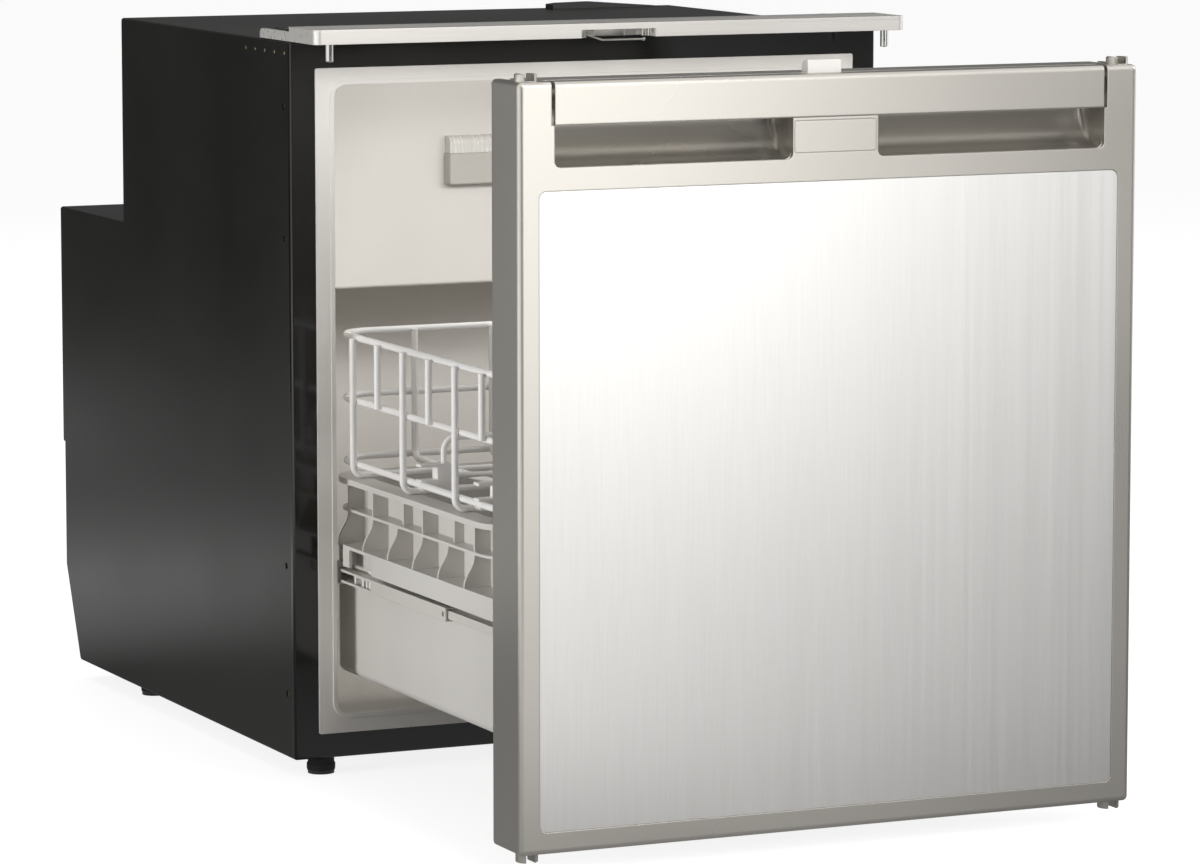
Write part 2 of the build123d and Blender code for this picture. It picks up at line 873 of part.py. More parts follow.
def build_vent_lever():
    """A thin bent strip that swings about the pin at its left end."""
    y0 = lever_y - lever_depth / 2
    top = lever_root_z
    low = lever_arm_z
    flat_x = lever_pivot_x + lever_depth
    under = [(lever_pivot_x, top), (flat_x, top), (lever_knee_x, low), (lever_end_x, low)]
    over = [(x, z + lever_sheet) for x, z in reversed(under)]
    outline = make_face(Polyline(*[(x, y0, z) for x, z in under + over], close=True))
    strip = extrude(outline, amount=lever_depth, dir=(0, 1, 0))
    eye = rod((lever_pivot_x, lever_y, top), (lever_pivot_x, lever_y, top + lever_sheet),
              lever_depth * 1.8)
    hole = rod((lever_pivot_x, lever_y, low), (lever_pivot_x, lever_y, bar_top),
               lever_pin_diameter + knob_gap)
    return strip + eye - hole


def build_lever_knob():
    radius = knob_ball_diameter / 2
    return Pos(lever_end_x + radius, lever_y, lever_arm_z + lever_sheet / 2) * Sphere(radius)


def build_catch_pins():
    """The lever's pivot pin and the two guide pins at the other end of the pocket."""
    roof = bar_bottom + pocket_height
    start = lever_root_z - lever_head_height - knob_gap
    pivot = rod((lever_pivot_x, lever_y, start), (lever_pivot_x, lever_y, roof), lever_pin_diameter)
    head = rod((lever_pivot_x, lever_y, start), (lever_pivot_x, lever_y, start + lever_head_height),
               lever_head_diameter)
    guides = []
    for number in range(catch_pin_count):
        x = catch_pin_x + number * catch_pin_pitch
        guides.append(rod((x, lever_y, roof - catch_pin_length), (x, lever_y, roof), catch_pin_diameter))
    return [pivot + head] + guides


# Inside the cavity


def knob_height():
    """Height of the thermostat shaft."""
    return (housing_bottom + housing_top) / 2


def knob_bore(start, end):
    """The clear hole for the thermostat shaft."""
    z = knob_height()
    return rod((knob_x, start, z), (knob_x, end, z), knob_shaft_diameter + 2 * knob_gap)


def build_evaporator_cover():
    outside = slab(-cover_half_width, cover_half_width, cover_bottom, cover_top, cover_corner_radius,
                   cover_face_y, cavity_depth_high)
    front_edges = outside.faces().sort_by(Axis.Y)[0].edges()
    outside = fillet(front_edges.filter_by(Axis.X).sort_by(Axis.Z)[0], cover_edge_radius)
    inside = block(-cover_half_width + cover_sheet, cover_half_width - cover_sheet,
                   cover_face_y + cover_sheet, cavity_depth_high + 1,
                   cover_bottom + cover_sheet, cover_top - cover_sheet)
    return outside - inside - knob_bore(cover_face_y - 1, cover_face_y + cover_sheet + 1)


def build_evaporator():
    back = evaporator_y + evaporator_sheet
    plate = slab(-evaporator_half_width, evaporator_half_width, evaporator_bottom, evaporator_top,
                 channel_diameter, evaporator_y, back)
    pitch = (evaporator_top - evaporator_bottom) / (channel_rows + 1)
    length = evaporator_half_width - channel_end_gap
    for row in range(channel_rows):
        z = evaporator_bottom + (row + 1) * pitch
        plate += rod((-length, back, z), (length, back, z), channel_diameter)
    stud_x = evaporator_half_width - evaporator_stud_inset
    for x in (-stud_x, stud_x):
        for z in (evaporator_bottom + evaporator_stud_inset, evaporator_top - evaporator_stud_inset):
            plate += rod((x, evaporator_y, z), (x, cavity_depth_high, z), evaporator_stud_diameter)
    return plate


def build_control_housing():
    front = cover_face_y - housing_proud
    body = slab(housing_left, housing_right, housing_bottom, housing_top, 2, front, cover_face_y)
    body = fillet(body.faces().sort_by(Axis.Y)[0].edges(), housing_edge_radius)
    return body - knob_bore(front - 1, cover_face_y + 1)


def build_lamp_lens():
    front = cover_face_y - lens_proud
    lens = block(housing_left + lens_end_inset, housing_right - lens_end_inset, front, cover_face_y,
                 housing_top, housing_top + lens_height)
    edges = lens.faces().sort_by(Axis.Y)[0].edges().filter_by(Axis.X)
    return fillet(edges.sort_by(Axis.Z)[-1], lens_proud * 0.55)


def build_thermostat_knob():
    rear = cover_face_y - housing_proud - knob_gap
    front = rear - knob_length
    z = knob_height()
    knob = rod((knob_x, front, z), (knob_x, rear, z), knob_diameter)
    knob = fillet(knob.faces().sort_by(Axis.Y)[0].edges(), 1.2)
    for number in range(knob_flute_count):
        angle = 2 * pi * number / knob_flute_count
        x = knob_x + knob_diameter / 2 * cos(angle)
        height = z + knob_diameter / 2 * sin(angle)
        knob -= rod((x, front - 1, height), (x, rear - 1.5, height), knob_flute_diameter)
    shaft = rod((knob_x, rear - 1, z), (knob_x, cover_face_y + cover_sheet, z), knob_shaft_diameter)
    return knob + shaft


# Runners


def channel(x_web, x_lip, z0, z1, sheet, y0, y1):
    """A C section with its web at the outer side and its flanges turned in."""
    outer = block(x_lip, x_web, y0, y1, z0, z1)
    hollow = block(x_lip - 1, x_web - sheet, y0 - 1, y1 + 1, z0 + sheet, z1 - sheet)
    return outer - hollow


def build_runner_outer():
    rail = channel(channel_web_x, channel_lip_x, channel_bottom, channel_top, channel_sheet,
                   channel_front_y, channel_rear_y)
    middle = (channel_bottom + channel_top) / 2
    for y in (channel_front_y + rivet_inset, channel_rear_y - rivet_inset):
        rail += rod((channel_web_x, y, middle), (mouth_half_width, y, middle), rivet_diameter)
    return rail


def build_runner_middle():
    """The middle rail, with a block at its front end and a window that shows the latch."""
    block_y = middle_front_y - middle_block_length
    rail = channel(middle_web_x, middle_lip_x, middle_bottom, middle_top, middle_sheet,
                   block_y, middle_rear_y)
    rail += block(inner_lip_x + slide_gap, middle_web_x, block_y, middle_front_y,
                  middle_bottom, middle_top)
    rail -= block(inner_lip_x + slide_gap, middle_web_x + 1, notch_front_y,
                  notch_front_y + middle_window_length,
                  middle_bottom + middle_window_edge, middle_top - middle_window_edge)
    y = middle_front_y - middle_block_length / 2
    centre = (middle_bottom + middle_top) / 2
    return rail - rod((middle_lip_x - 1, y, centre), (middle_web_x + 1, y, centre), middle_hole_diameter)


def build_runner_inner():
    rail = block(tub_half_width, inner_lip_x, front_back_y, inner_rear_y, inner_bottom, inner_top)
    return rail - block(tub_half_width + inner_sheet, inner_lip_x - inner_sheet, front_back_y - 1,
                        inner_rear_y + 1, inner_bottom + inner_sheet, inner_top - inner_sheet)


def build_runner_clips():
    """A plastic latch at the rear end of each drawer rail, with two prongs and a tab."""
    wall = clip_tab_thickness + 0.8
    body = block(tub_half_width, inner_lip_x, inner_rear_y, clip_rear_y, inner_bottom, inner_top)
    body -= block(tub_half_width + wall, inner_lip_x + 1, inner_rear_y + 3, clip_rear_y - 3,
                  inner_bottom - 1, inner_top - 1.2)
    for number in range(clip_prong_count):
        y = inner_rear_y + clip_prong_start + number * clip_prong_pitch
        body += block(tub_half_width + wall, inner_lip_x, y, y + clip_prong_width, inner_bottom, inner_top)
    tab = block(tub_half_width, tub_half_width + clip_tab_thickness, inner_rear_y + 2, clip_rear_y - 8,
                inner_top, inner_top + clip_tab_height)
    return both_sides(body + tab)


# Drawer front


def band_way_rear():
    """How far back the header is open behind the handle band."""
    return front_face_y + band_flange + band_swing_gap + band_gap


def cap_pocket(x):
    """The round seat of a top cap and the slot that runs from it to the back."""
    z0 = front_top - cap_sunk
    half = cap_slot_width / 2
    seat = rod((x, cap_y, z0), (x, cap_y, front_top + 1), cap_diameter + 2 * cap_clearance)
    return seat + block(x - half, x + half, cap_y, front_back_y + 1, z0, front_top + 1)


def foot_cap_pocket(x):
    """The round seat of a bottom cap."""
    return rod((x, cap_y, front_bottom - 1), (x, cap_y, front_bottom + cap_sunk),
               cap_diameter + 2 * cap_clearance)


def plate_outline(grow, y0, y1):
    """The plate between the grips, grown by a gap all round."""
    return slab(-plate_half_width - grow, plate_half_width + grow, grip_bottom + plate_bottom_gap - grow,
                band_bottom - plate_top_gap + grow, plate_radius, y0, y1)


def build_drawer_bezel():
    rear = front_back_y - back_plate_sheet
    behind_face = front_face_y + bezel_face
    inner = front_half_width - bezel_wall
    frame = block(-front_half_width, front_half_width, front_face_y, rear, front_bottom, front_top)
    soft = frame.faces().sort_by(Axis.Y)[0].edges() + frame.edges().filter_by(Axis.Y)
    frame = fillet(soft, front_edge_radius)
    frame -= block(-inner, inner, behind_face, rear + 1,
                   front_bottom + bezel_wall, front_top - bezel_wall)
    frame -= slab(-panel_half_width, panel_half_width, panel_bottom, panel_top, panel_radius,
                  front_face_y - 1, behind_face + 1)
    for side in (-1, 1):
        left, right = sorted((side * grip_inner_x, side * grip_outer_x))
        frame -= slab(left, right, grip_bottom, band_bottom + grip_radius + 1, grip_radius,
                      front_face_y - 1, behind_face + 1)
    reach = band_half_width + band_gap
    frame -= block(-reach, reach, front_face_y - 1, band_way_rear(), band_bottom, front_top + 1)
    frame -= plate_outline(plate_gap, front_face_y - 1, front_face_y + plate_thickness)
    for x in (-cap_x, cap_x):
        frame -= cap_pocket(x) + foot_cap_pocket(x)
    frame -= bolt_way(bolt_clearance, front_top - bezel_wall - 1)
    return frame + handle_lugs()


def handle_lugs():
    """Bearings for the handle pins, on the inside of the header."""
    reach = band_half_width + band_gap
    end = reach + handle_pin_grip
    lug = block(reach, end, front_face_y + 1, band_way_rear(),
                handle_pin_z - handle_lug_drop, front_top - 0.6)
    pin = rod((reach - 1, handle_pin_y, handle_pin_z), (end + 1, handle_pin_y, handle_pin_z),
              handle_pin_diameter)
    return both_sides(lug - pin)


def bolt_way(gap, z0):
    """The shaft that the latch bolt slides in, open at the top."""
    return block(-bolt_half_width - gap, bolt_half_width + gap, bolt_front_y - gap,
                 bolt_front_y + bolt_depth + gap, z0, front_top + 1)


def build_front_panel():
    front = front_face_y + panel_sunk
    half = panel_half_width - panel_gap
    return slab(-half, half, panel_bottom + panel_gap, panel_top - panel_gap, panel_radius,
                front, front + panel_thickness)


def grip_scoop(left):
    """The scooped space of a grip: a quarter round floor, a straight back and rounded ends."""
    front = front_face_y + 1
    radius = grip_depth - 1
    height = band_bottom + grip_headroom + 1 - grip_bottom
    share = sin(pi / 4)
    floor = ThreePointArc((front, 0), (front + radius * share, radius * (1 - share)),
                          (front + radius, radius))
    back = Line((front + radius, radius), (front + radius, height))
    top = Line((front + radius, height), (front, height))
    close = Line((front, height), (front, 0))
    face = make_face(Wire([floor.edge(), back.edge(), top.edge(), close.edge()]))
    place = Plane(origin=(left, 0, grip_bottom), x_dir=(0, 1, 0), z_dir=(1, 0, 0))
    scoop = extrude(place * face, amount=grip_outer_x - grip_inner_x)
    ends = scoop.faces().sort_by(Axis.X)
    curved = [end.edges().filter_by(GeomType.CIRCLE) for end in (ends[0], ends[-1])]
    upright = [end.edges().filter_by(Axis.Z).sort_by(Axis.Y)[-1] for end in (ends[0], ends[-1])]
    return fillet(curved[0] + curved[1] + upright, grip_end_radius)


def build_grip_recess():
    """Two scooped pockets on one moulding behind the header."""
    y0 = front_face_y + bezel_face
    half = grip_outer_x + grip_wall
    top = band_bottom + grip_headroom
    body = block(-half, half, y0, front_face_y + grip_depth + grip_wall, grip_bottom - grip_wall, top)
    for side in (-1, 1):
        body -= grip_scoop(min(side * grip_inner_x, side * grip_outer_x))
    body -= latch_outline(bolt_clearance)
    reach = band_half_width + band_gap
    swing_rear = front_face_y + band_wall + 4 * band_swing_gap
    return body - block(-reach, reach, y0 - 1, swing_rear, band_bottom - 0.6, top + 1)


def latch_outline(gap):
    """The outside of the latch housing, with room around it."""
    wall = latch_wall + gap
    return block(-bolt_half_width - wall, bolt_half_width + wall, bolt_front_y - wall,
                 bolt_front_y + bolt_depth + wall, latch_floor_z - gap, front_top - bezel_wall)


def build_latch_housing():
    return latch_outline(0) - bolt_way(bolt_clearance / 2, latch_floor_z + latch_wall)


def build_latch_bolt():
    top = front_top + bolt_proud
    bolt = block(-bolt_half_width, bolt_half_width, bolt_front_y, bolt_front_y + bolt_depth,
                 top - bolt_length, top)
    lead = bolt.edges().filter_by(Axis.X).sort_by(lambda e: e.center().Z + e.center().Y)[-1]
    bolt = chamfer(lead, bolt_lead)
    return fillet(bolt.faces().sort_by(Axis.Z)[-1].edges(), 0.5)


def build_latch_spring():
    """A bowed leaf that pushes the bolt up."""
    low = latch_floor_z + latch_wall
    high = latch_floor_z + spring_height - spring_gap
    half = bolt_half_width - 1.5
    inner = half - spring_sheet
    outer = ThreePointArc((-half, low), (0, high), (half, low))
    lower = ThreePointArc((inner, low), (0, high - spring_sheet), (-inner, low))
    rim = Line((half, low), (inner, low))
    close = Line((-inner, low), (-half, low))
    face = make_face(Wire([outer.edge(), rim.edge(), lower.edge(), close.edge()]))
    place = Plane(origin=(0, bolt_front_y + bolt_depth - 1, 0), x_dir=(1, 0, 0), z_dir=(0, -1, 0))
    return extrude(place * face, amount=bolt_depth - 2)


def build_handle_band():
    """The moving upper band: a front wall with a flange over the top."""
    front = front_face_y
    body = block(-band_half_width, band_half_width, front, front + band_flange, band_bottom, front_top)
    long_edges = body.edges().filter_by(Axis.X)
    body = fillet(long_edges.sort_by(lambda e: e.center().Z - e.center().Y)[-1], front_edge_radius)
    body -= block(-band_half_width - 1, band_half_width + 1, front + band_wall, front + band_flange + 1,
                  band_bottom - 1, front_top - band_wall)
    lower = body.edges().filter_by(Axis.X).filter_by(lambda e: abs(e.center().Z - band_bottom) < 0.01)
    body = fillet(lower, band_wall * 0.4)
    for side in (-1, 1):
        inner = side * (band_half_width - band_cheek)
        x0, x1 = sorted((side * band_half_width, inner))
        body += block(x0, x1, front + band_wall, front + band_flange, handle_pin_z - band_cheek_drop,
                      front_top - band_wall)
        body -= rod((side * (band_half_width + 1), handle_pin_y, handle_pin_z),
                    (inner, handle_pin_y, handle_pin_z), handle_pin_diameter + 2 * handle_pin_clearance)
    return body


def build_handle_pins():
    inner = band_half_width - band_cheek
    outer = band_half_width + band_gap + handle_pin_grip
    return both_sides(rod((inner, handle_pin_y, handle_pin_z), (outer, handle_pin_y, handle_pin_z),
                          handle_pin_diameter))


def build_centre_plate():
    return plate_outline(0, front_face_y, front_face_y + plate_thickness)


def slotted_cap(x, z_flat, direction, proud):
    """A round cap with a slot along Y, standing out of the flat at z_flat."""
    z0 = z_flat - direction * cap_sunk
    z1 = z_flat + direction * proud
    cap = rod((x, cap_y, z0), (x, cap_y, z1), cap_diameter)
    faces = cap.faces().sort_by(Axis.Z)
    cap = fillet((faces[-1] if direction > 0 else faces[0]).edges(), 0.8)
    half = cap_slot_width / 2
    depth = front_top - slot_floor_z
    low, high = sorted((z_flat - direction * depth, z1 + direction))
    rear = cap_y + cap_diameter
    cap -= block(x - half, x + half, cap_y - half, rear, low, high)
    above_low, above_high = sorted((z_flat + direction * 0.4, z1 + direction))
    return cap - block(x - half, x + half, cap_y - cap_diameter, rear, above_low, above_high)


def build_caps_top():
    return [slotted_cap(x, front_top, 1, cap_proud) for x in (-cap_x, cap_x)]


def build_caps_bottom():
    return [slotted_cap(x, front_bottom, -1, foot_cap_proud) for x in (-cap_x, cap_x)]


def plug_body(grow):
    """The raised middle of the drawer's inner liner, drawn in by a wall."""
    half = plug_half_width - grow
    start = front_back_y - back_plate_sheet
    radius = plug_radius - min(grow, plug_radius * 0.6)
    body = slab(-half, half, plug_bottom + grow, plug_top - grow, radius, start, plug_rear_y - grow)
    notch = block(plug_notch_x - grow, half + 1, start, plug_rear_y + 1, plug_notch_bottom - grow,
                  plug_notch_top + grow)
    return body - both_sides(notch)


def build_drawer_inner_liner():
    half = front_half_width - 1
    plate = slab(-half, half, front_bottom + 1, front_top - 1, plug_wall,
                 front_back_y - back_plate_sheet, front_back_y)
    body = plate + plug_body(0) - plug_body(plug_wall)
    for x in (-cap_x, cap_x):
        body -= block(x - cap_slot_width / 2, x + cap_slot_width / 2, front_back_y - back_plate_sheet - 1,
                      front_back_y + 1, slot_floor_z, front_top + 1)
    return body


def build_front_foam():
    half = front_half_width - bezel_wall
    low = front_bottom + bezel_wall
    start = front_face_y + bezel_face
    end = front_back_y - back_plate_sheet
    body = block(-half, half, start, end, low + cap_sunk, grip_bottom - grip_wall)
    foot = block(-cap_x + cap_diameter, cap_x - cap_diameter, start, end, low, low + cap_sunk)
    return body + foot + plug_body(plug_wall)


def gasket_slab(grow, radius, y0, y1):
    """The gasket's inner outline grown outwards."""
    half = gasket_inner_x + grow
    return slab(-half, half, gasket_inner_bottom - grow, gasket_inner_top + grow, radius, y0, y1)


def build_gasket():
    y1 = front_back_y + gasket_thickness
    outside = gasket_slab(gasket_width, gasket_radius, front_back_y, y1)
    outside = fillet(outside.faces().sort_by(Axis.Y)[-1].edges(), gasket_thickness * 0.35)
    return outside - gasket_slab(0, gasket_radius * 0.5, front_back_y - 1, y1 + 1)


# Tub


def rib_places():
    """Y of each side rib, and whether it stops short as every second one from the third does."""
    places = []
    for number in range(rib_count):
        places.append((rib_first_y - number * rib_pitch, number > 0 and number % 2 == 0))
    return places


def lower_rib(y):
    """A rib under the mid rib, flared in an S to the edge of the deck."""
    low = deck_z - tub_wall / 2
    high = mid_rib_z
    middle = (low + high) / 2
    foot = skirt_half_width - rib_foot_inset
    inner = upper_half_width - tub_wall / 2
    curve = Bezier((foot, low), (foot, middle), (mid_rib_half_width, middle), (mid_rib_half_width, high))
    lines = [
        curve.edge(),
        Line((mid_rib_half_width, high), (inner, high)).edge(),
        Line((inner, high), (inner, low)).edge(),
        Line((inner, low), (foot, low)).edge(),
    ]
    place = Plane(origin=(0, y + rib_thickness / 2, 0), x_dir=(1, 0, 0), z_dir=(0, -1, 0))
    return extrude(place * make_face(Wire(lines)), amount=rib_thickness)


def upper_rib(y, short):
    """A rib between the mid rib and the rim."""
    reach = mid_rib_half_width - (short_rib_drop if short else 0)
    return block(upper_half_width - tub_wall / 2, reach, y - rib_thickness / 2, y + rib_thickness / 2,
                 mid_rib_z, rim_top - rim_height / 2)


def collar(half, overhang, z0, z1):
    """A flat ring round the upper wall of the tub, before the tub is hollowed."""
    return tray(half, upper_front_y - overhang, upper_rear_y + overhang, upper_radius + overhang, z0, z1)


def deck_skirt():
    """The deck between the lower and the upper wall, with its turned-down edge."""
    front = plug_rear_y
    low = deck_z - skirt_height
    deck = tray(skirt_half_width, front, skirt_rear_y, skirt_wall, low, deck_z)
    hollow = tray(skirt_half_width - skirt_wall, front + skirt_wall, skirt_rear_y - skirt_wall, 1,
                  low - 1, deck_z - tub_wall)
    notch = block(tub_half_width + 0.5, skirt_half_width + 1, notch_front_y, notch_rear_y,
                  low - 1, low + skirt_notch_height)
    return deck - hollow - both_sides(notch)


def build_tub():
    front = plug_rear_y
    body = tray(tub_half_width, front, tub_rear_y, tub_radius, tub_bottom, deck_z)
    body = fillet(body.faces().sort_by(Axis.Z)[0].edges(), tub_radius * 0.4)
    body += deck_skirt()
    body += collar(upper_half_width, 0, deck_z - tub_wall, rim_top)
    body += collar(rim_half_width, rim_overhang_y, rim_top - rim_height, rim_top)
    half_rib = mid_rib_thickness / 2
    body += collar(mid_rib_half_width, rim_overhang_y / 2, mid_rib_z - half_rib, mid_rib_z + half_rib)
    for y, short in rib_places():
        body += both_sides(upper_rib(y, short)) + both_sides(lower_rib(y))
    body -= tray(tub_half_width - tub_wall, front + tub_wall, tub_rear_y - tub_wall,
                 tub_radius - tub_wall, tub_bottom + tub_wall, deck_z - tub_wall)
    body -= tray(upper_half_width - tub_wall, upper_front_y + tub_wall, upper_rear_y - tub_wall,
                 upper_radius - tub_wall, deck_z - tub_wall - 1, rim_top + 1)
    return body - tray(tub_half_width - pocket_side_gap, front + pocket_edge_gap,
                       upper_front_y - pocket_edge_gap, pocket_edge_gap,
                       deck_z - tub_wall - 1, deck_z + 1)


# Basket and dividers


def wire_loop(half, y0, y1, radius, z):
    """A closed wire, rounded at its corners, lying in plan."""
    outline = Pos(0, (y0 + y1) / 2, z) * RectangleRounded(2 * half, y1 - y0, radius)
    section = Plane(origin=(0, y0, z), z_dir=(1, 0, 0)) * Circle(wire_radius)
    return sweep(section, path=outline.wire())


def wire_u(points, radius):
    """An open wire through the points, bent at each corner."""
    line = FilletPolyline(*points, radius=radius)
    direction = Vector(*points[1]) - Vector(*points[0])
    return wire_along(line, points[0], direction, wire_diameter)


def cross_wires(floor_z):
    """Wires across the basket, by turns a long U and a short upright at each side."""
    side = basket_half_width + wire_step
    rim = basket_rim_z
    parts = []
    for number in range(upright_count):
        y = upright_first_y - number * basket_upright_pitch
        if number % 2 == 0:
            corners = [(-side, y, rim), (-side, y, floor_z), (side, y, floor_z), (side, y, rim)]
            parts.append(wire_u(corners, basket_bend_radius))
        else:
            parts.append(both_sides(rod((side, y, basket_mid_z), (side, y, rim), wire_diameter)))
    return parts


def floor_wires(floor_z):
    """Wires from the front rim down, along the floor and up to the rear rim."""
    front = basket_front_y + wire_step
    rear = basket_rear_y - wire_step
    rim = basket_rim_z
    parts = []
    for number in range(-floor_wire_reach, floor_wire_reach + 1):
        x = number * basket_floor_pitch
        corners = [(x, front, rim), (x, front, floor_z), (x, rear, floor_z), (x, rear, rim)]
        parts.append(wire_u(corners, basket_bend_radius))
    return parts


def build_basket():
    floor_z = rim_top + wire_radius
    body = wire_loop(basket_half_width, basket_front_y, basket_rear_y, basket_radius, basket_rim_z)
    for z in (basket_mid_z, basket_low_z):
        body += wire_loop(basket_half_width, basket_front_y, basket_rear_y, basket_radius, z)
    for wire in cross_wires(floor_z) + floor_wires(floor_z + wire_step):
        body += wire
    return body


def divider_clip(y):
    """A plastic jaw that grips the low side wire of the basket."""
    y0 = y - divider_clip_length / 2
    y1 = y + divider_clip_length / 2
    reach = divider_clip_reach
    x, z = basket_half_width, basket_low_z
    bevel = divider_clip_chamfer
    slot = wire_radius + divider_clip_gap
    clip = block(divider_half_width - wire_diameter, reach, y0, y1, divider_clip_bottom, divider_clip_top)
    lower_edge = clip.edges().filter_by(Axis.Y).sort_by(lambda e: e.center().X - e.center().Z)[-1]
    clip = chamfer(lower_edge, bevel)
    clip -= rod((x, y0 - 1, z), (x, y1 + 1, z), 2 * slot)
    clip -= block(x, reach + 1, y0 - 1, y1 + 1, z - slot, z + slot)
    return clip - block(divider_half_width + divider_clip_length * 0.7, reach + 1, y0 - 1, y1 + 1,
                        z + slot + bevel, divider_clip_top - bevel)


def build_divider(y):
    """A wire hoop across the basket, with a plastic clip at each end."""
    middle = divider_bottom_z + divider_height / 2
    place = Plane(origin=(0, y, middle), x_dir=(1, 0, 0), z_dir=(0, -1, 0))
    outline = place * RectangleRounded(2 * divider_half_width, divider_height, divider_radius)
    section = Plane(origin=(0, y, divider_bottom_z), z_dir=(1, 0, 0)) * Circle(wire_radius)
    return sweep(section, path=outline.wire()) + both_sides(divider_clip(y))


# Machine room


def build_compressor():
    """A capsule on a foot plate, with its two pipe stubs."""
    y = compressor_y
    z = compressor_z
    left = compressor_left
    body = rod((left, y, z), (left + compressor_length, y, z), compressor_diameter)
    body = fillet(body.faces().filter_by(GeomType.PLANE).edges(), compressor_diameter * 0.3)
    half_seam = compressor_seam_width / 2
    body += rod((compressor_x - half_seam, y, z), (compressor_x + half_seam, y, z),
                compressor_diameter + 2 * compressor_seam_proud)
    body += block(compressor_x - bracket_half_length, compressor_x + bracket_half_length,
                  bracket_front_y, bracket_rear_y, sole_bottom, sole_top)
    half_saddle = saddle_width / 2
    for x in (compressor_x - saddle_reach, compressor_x + saddle_reach):
        body += block(x - half_saddle, x + half_saddle, bracket_front_y + saddle_width, bracket_rear_y,
                      sole_top, sole_top + saddle_height + saddle_sunk)
    body += rod((suction_x, y, z + stub_diameter), (suction_x, y, suction_stub_z), stub_diameter)
    return body + rod((left - stub_length, y, z), (left + stub_diameter, y, z), stub_diameter)


def build_compressor_bracket():
    half = bracket_half_length + bracket_flange
    y0 = bracket_front_y
    y1 = bracket_rear_y
    outer = block(compressor_x - half, compressor_x + half, y0, y1, casing_sheet, bracket_top)
    inner = half - bracket_sheet
    return outer - block(compressor_x - inner, compressor_x + inner, y0 - 1, y1 + 1,
                         casing_sheet - 1, bracket_top - bracket_sheet)


def build_grommets():
    grommets = []
    third = grommet_height / 3
    reach = bracket_half_length - grommet_inset
    for x in (compressor_x - reach, compressor_x + reach):
        for y in (bracket_front_y + grommet_inset, bracket_rear_y - grommet_inset):
            body = rod((x, y, bracket_top), (x, y, sole_bottom), grommet_diameter)
            low = (x, y, bracket_top + third)
            high = (x, y, sole_bottom - third)
            core = rod(low, high, grommet_diameter - 2 * grommet_groove)
            grommets.append(body - (rod(low, high, grommet_diameter + 1) - core))
    return grommets


def build_condenser():
    """Upright fins on flat tubes, on two legs that stand on the cabinet floor."""
    y0 = condenser_front_y
    y1 = condenser_rear_y
    tube_y = (y0 + y1) / 2
    x0 = condenser_left
    pitch = (condenser_right - x0 - condenser_sheet) / (fin_count - 1)
    body = block(x0, x0 + condenser_sheet, y0, y1, condenser_bottom, condenser_top)
    for number in range(1, fin_count):
        x = x0 + number * pitch
        body += block(x, x + condenser_sheet, y0, y1, condenser_bottom, condenser_top)
    for number in range(condenser_tube_rows):
        z = condenser_bottom + (number + 0.5) * tube_row_height
        body += rod((x0 - tube_overhang, tube_y, z), (condenser_right + tube_overhang, tube_y, z),
                    condenser_tube_diameter)
    leg_y = y0 - condenser_leg_gap
    knee = condenser_bottom + condenser_leg_overlap
    for x in (x0, condenser_right - condenser_sheet):
        x1 = x + condenser_sheet
        body += block(x, x1, leg_y - condenser_leg_length, leg_y, casing_sheet, knee)
        body += block(x, x1, leg_y - condenser_leg_length, y1, condenser_bottom, knee)
    return body


def build_fan_frame():
    """A square frame with a round bore, and a hub on four struts at its back."""
    x, y1, z = fan_x, condenser_front_y, fan_z
    half = fan_size / 2
    frame = slab(x - half, x + half, z - half, z + half, 5, y1 - fan_depth, y1)
    frame -= rod((x, y1 - fan_depth - 1, z), (x, y1 + 1, z), fan_bore)
    frame += rod((x, y1 - fan_strut, z), (x, y1, z), fan_hub_diameter)
    for angle in (45, 135, 225, 315):
        strut = block(0, fan_bore / 2 + 3, y1 - fan_strut, y1, -fan_strut / 2, fan_strut / 2)
        frame += Pos(x, 0, z) * (Rot(0, angle, 0) * strut)
    return frame


def build_fan_rotor():
    x, z = fan_x, fan_z
    rear = condenser_front_y - fan_strut - fan_rotor_gap
    front = condenser_front_y - fan_depth + 2
    middle = (front + rear) / 2
    rotor = rod((x, front, z), (x, rear, z), fan_hub_diameter)
    root = fan_hub_diameter / 2 - 3
    reach = fan_bore / 2 - fan_blade_gap
    for number in range(fan_blade_count):
        blade = Box(reach - root, fan_blade_sheet, fan_blade_chord)
        blade = Pos((reach + root) / 2, 0, 0) * (Rot(fan_blade_angle, 0, 0) * blade)
        rotor += Pos(x, middle, z) * (Rot(0, number * 360 / fan_blade_count, 0) * blade)
    return rotor & rod((x, front, z), (x, rear, z), 2 * reach)


def build_electronics():
    """A ribbed box for the compressor's electronics, on the machine wall."""
    y0 = machine_wall_y + machine_wall_sheet
    y1 = y0 + module_depth
    left = compressor_x - module_left_reach
    right = compressor_x + module_right_reach
    body = slab(left, right, module_bottom, module_top, 4, y0, y1)
    body = fillet(body.faces().sort_by(Axis.Y)[-1].edges(), 2.5)
    for number in range(6):
        z = module_bottom + 16 + number * 8
        body -= block(left + 14, right - 14, y1 - 3, y1 + 1, z, z + 3)
    return body


def build_drier():
    body = rod((drier_x, drier_y, drier_bottom), (drier_x, drier_y, drier_top), drier_diameter)
    body = fillet(body.faces().filter_by(GeomType.PLANE).edges(), drier_diameter * 0.3)
    clip = block(drier_x, half_width - casing_sheet, drier_y - 3, drier_y + 3,
                 drier_bottom + drier_length * 0.4, drier_bottom + drier_length * 0.6)
    return body + clip


def pipe_run(points, radius):
    """A pipe's centre line, with its first point and first direction."""
    direction = Vector(*points[1]) - Vector(*points[0])
    return FilletPolyline(*points, radius=radius), points[0], direction


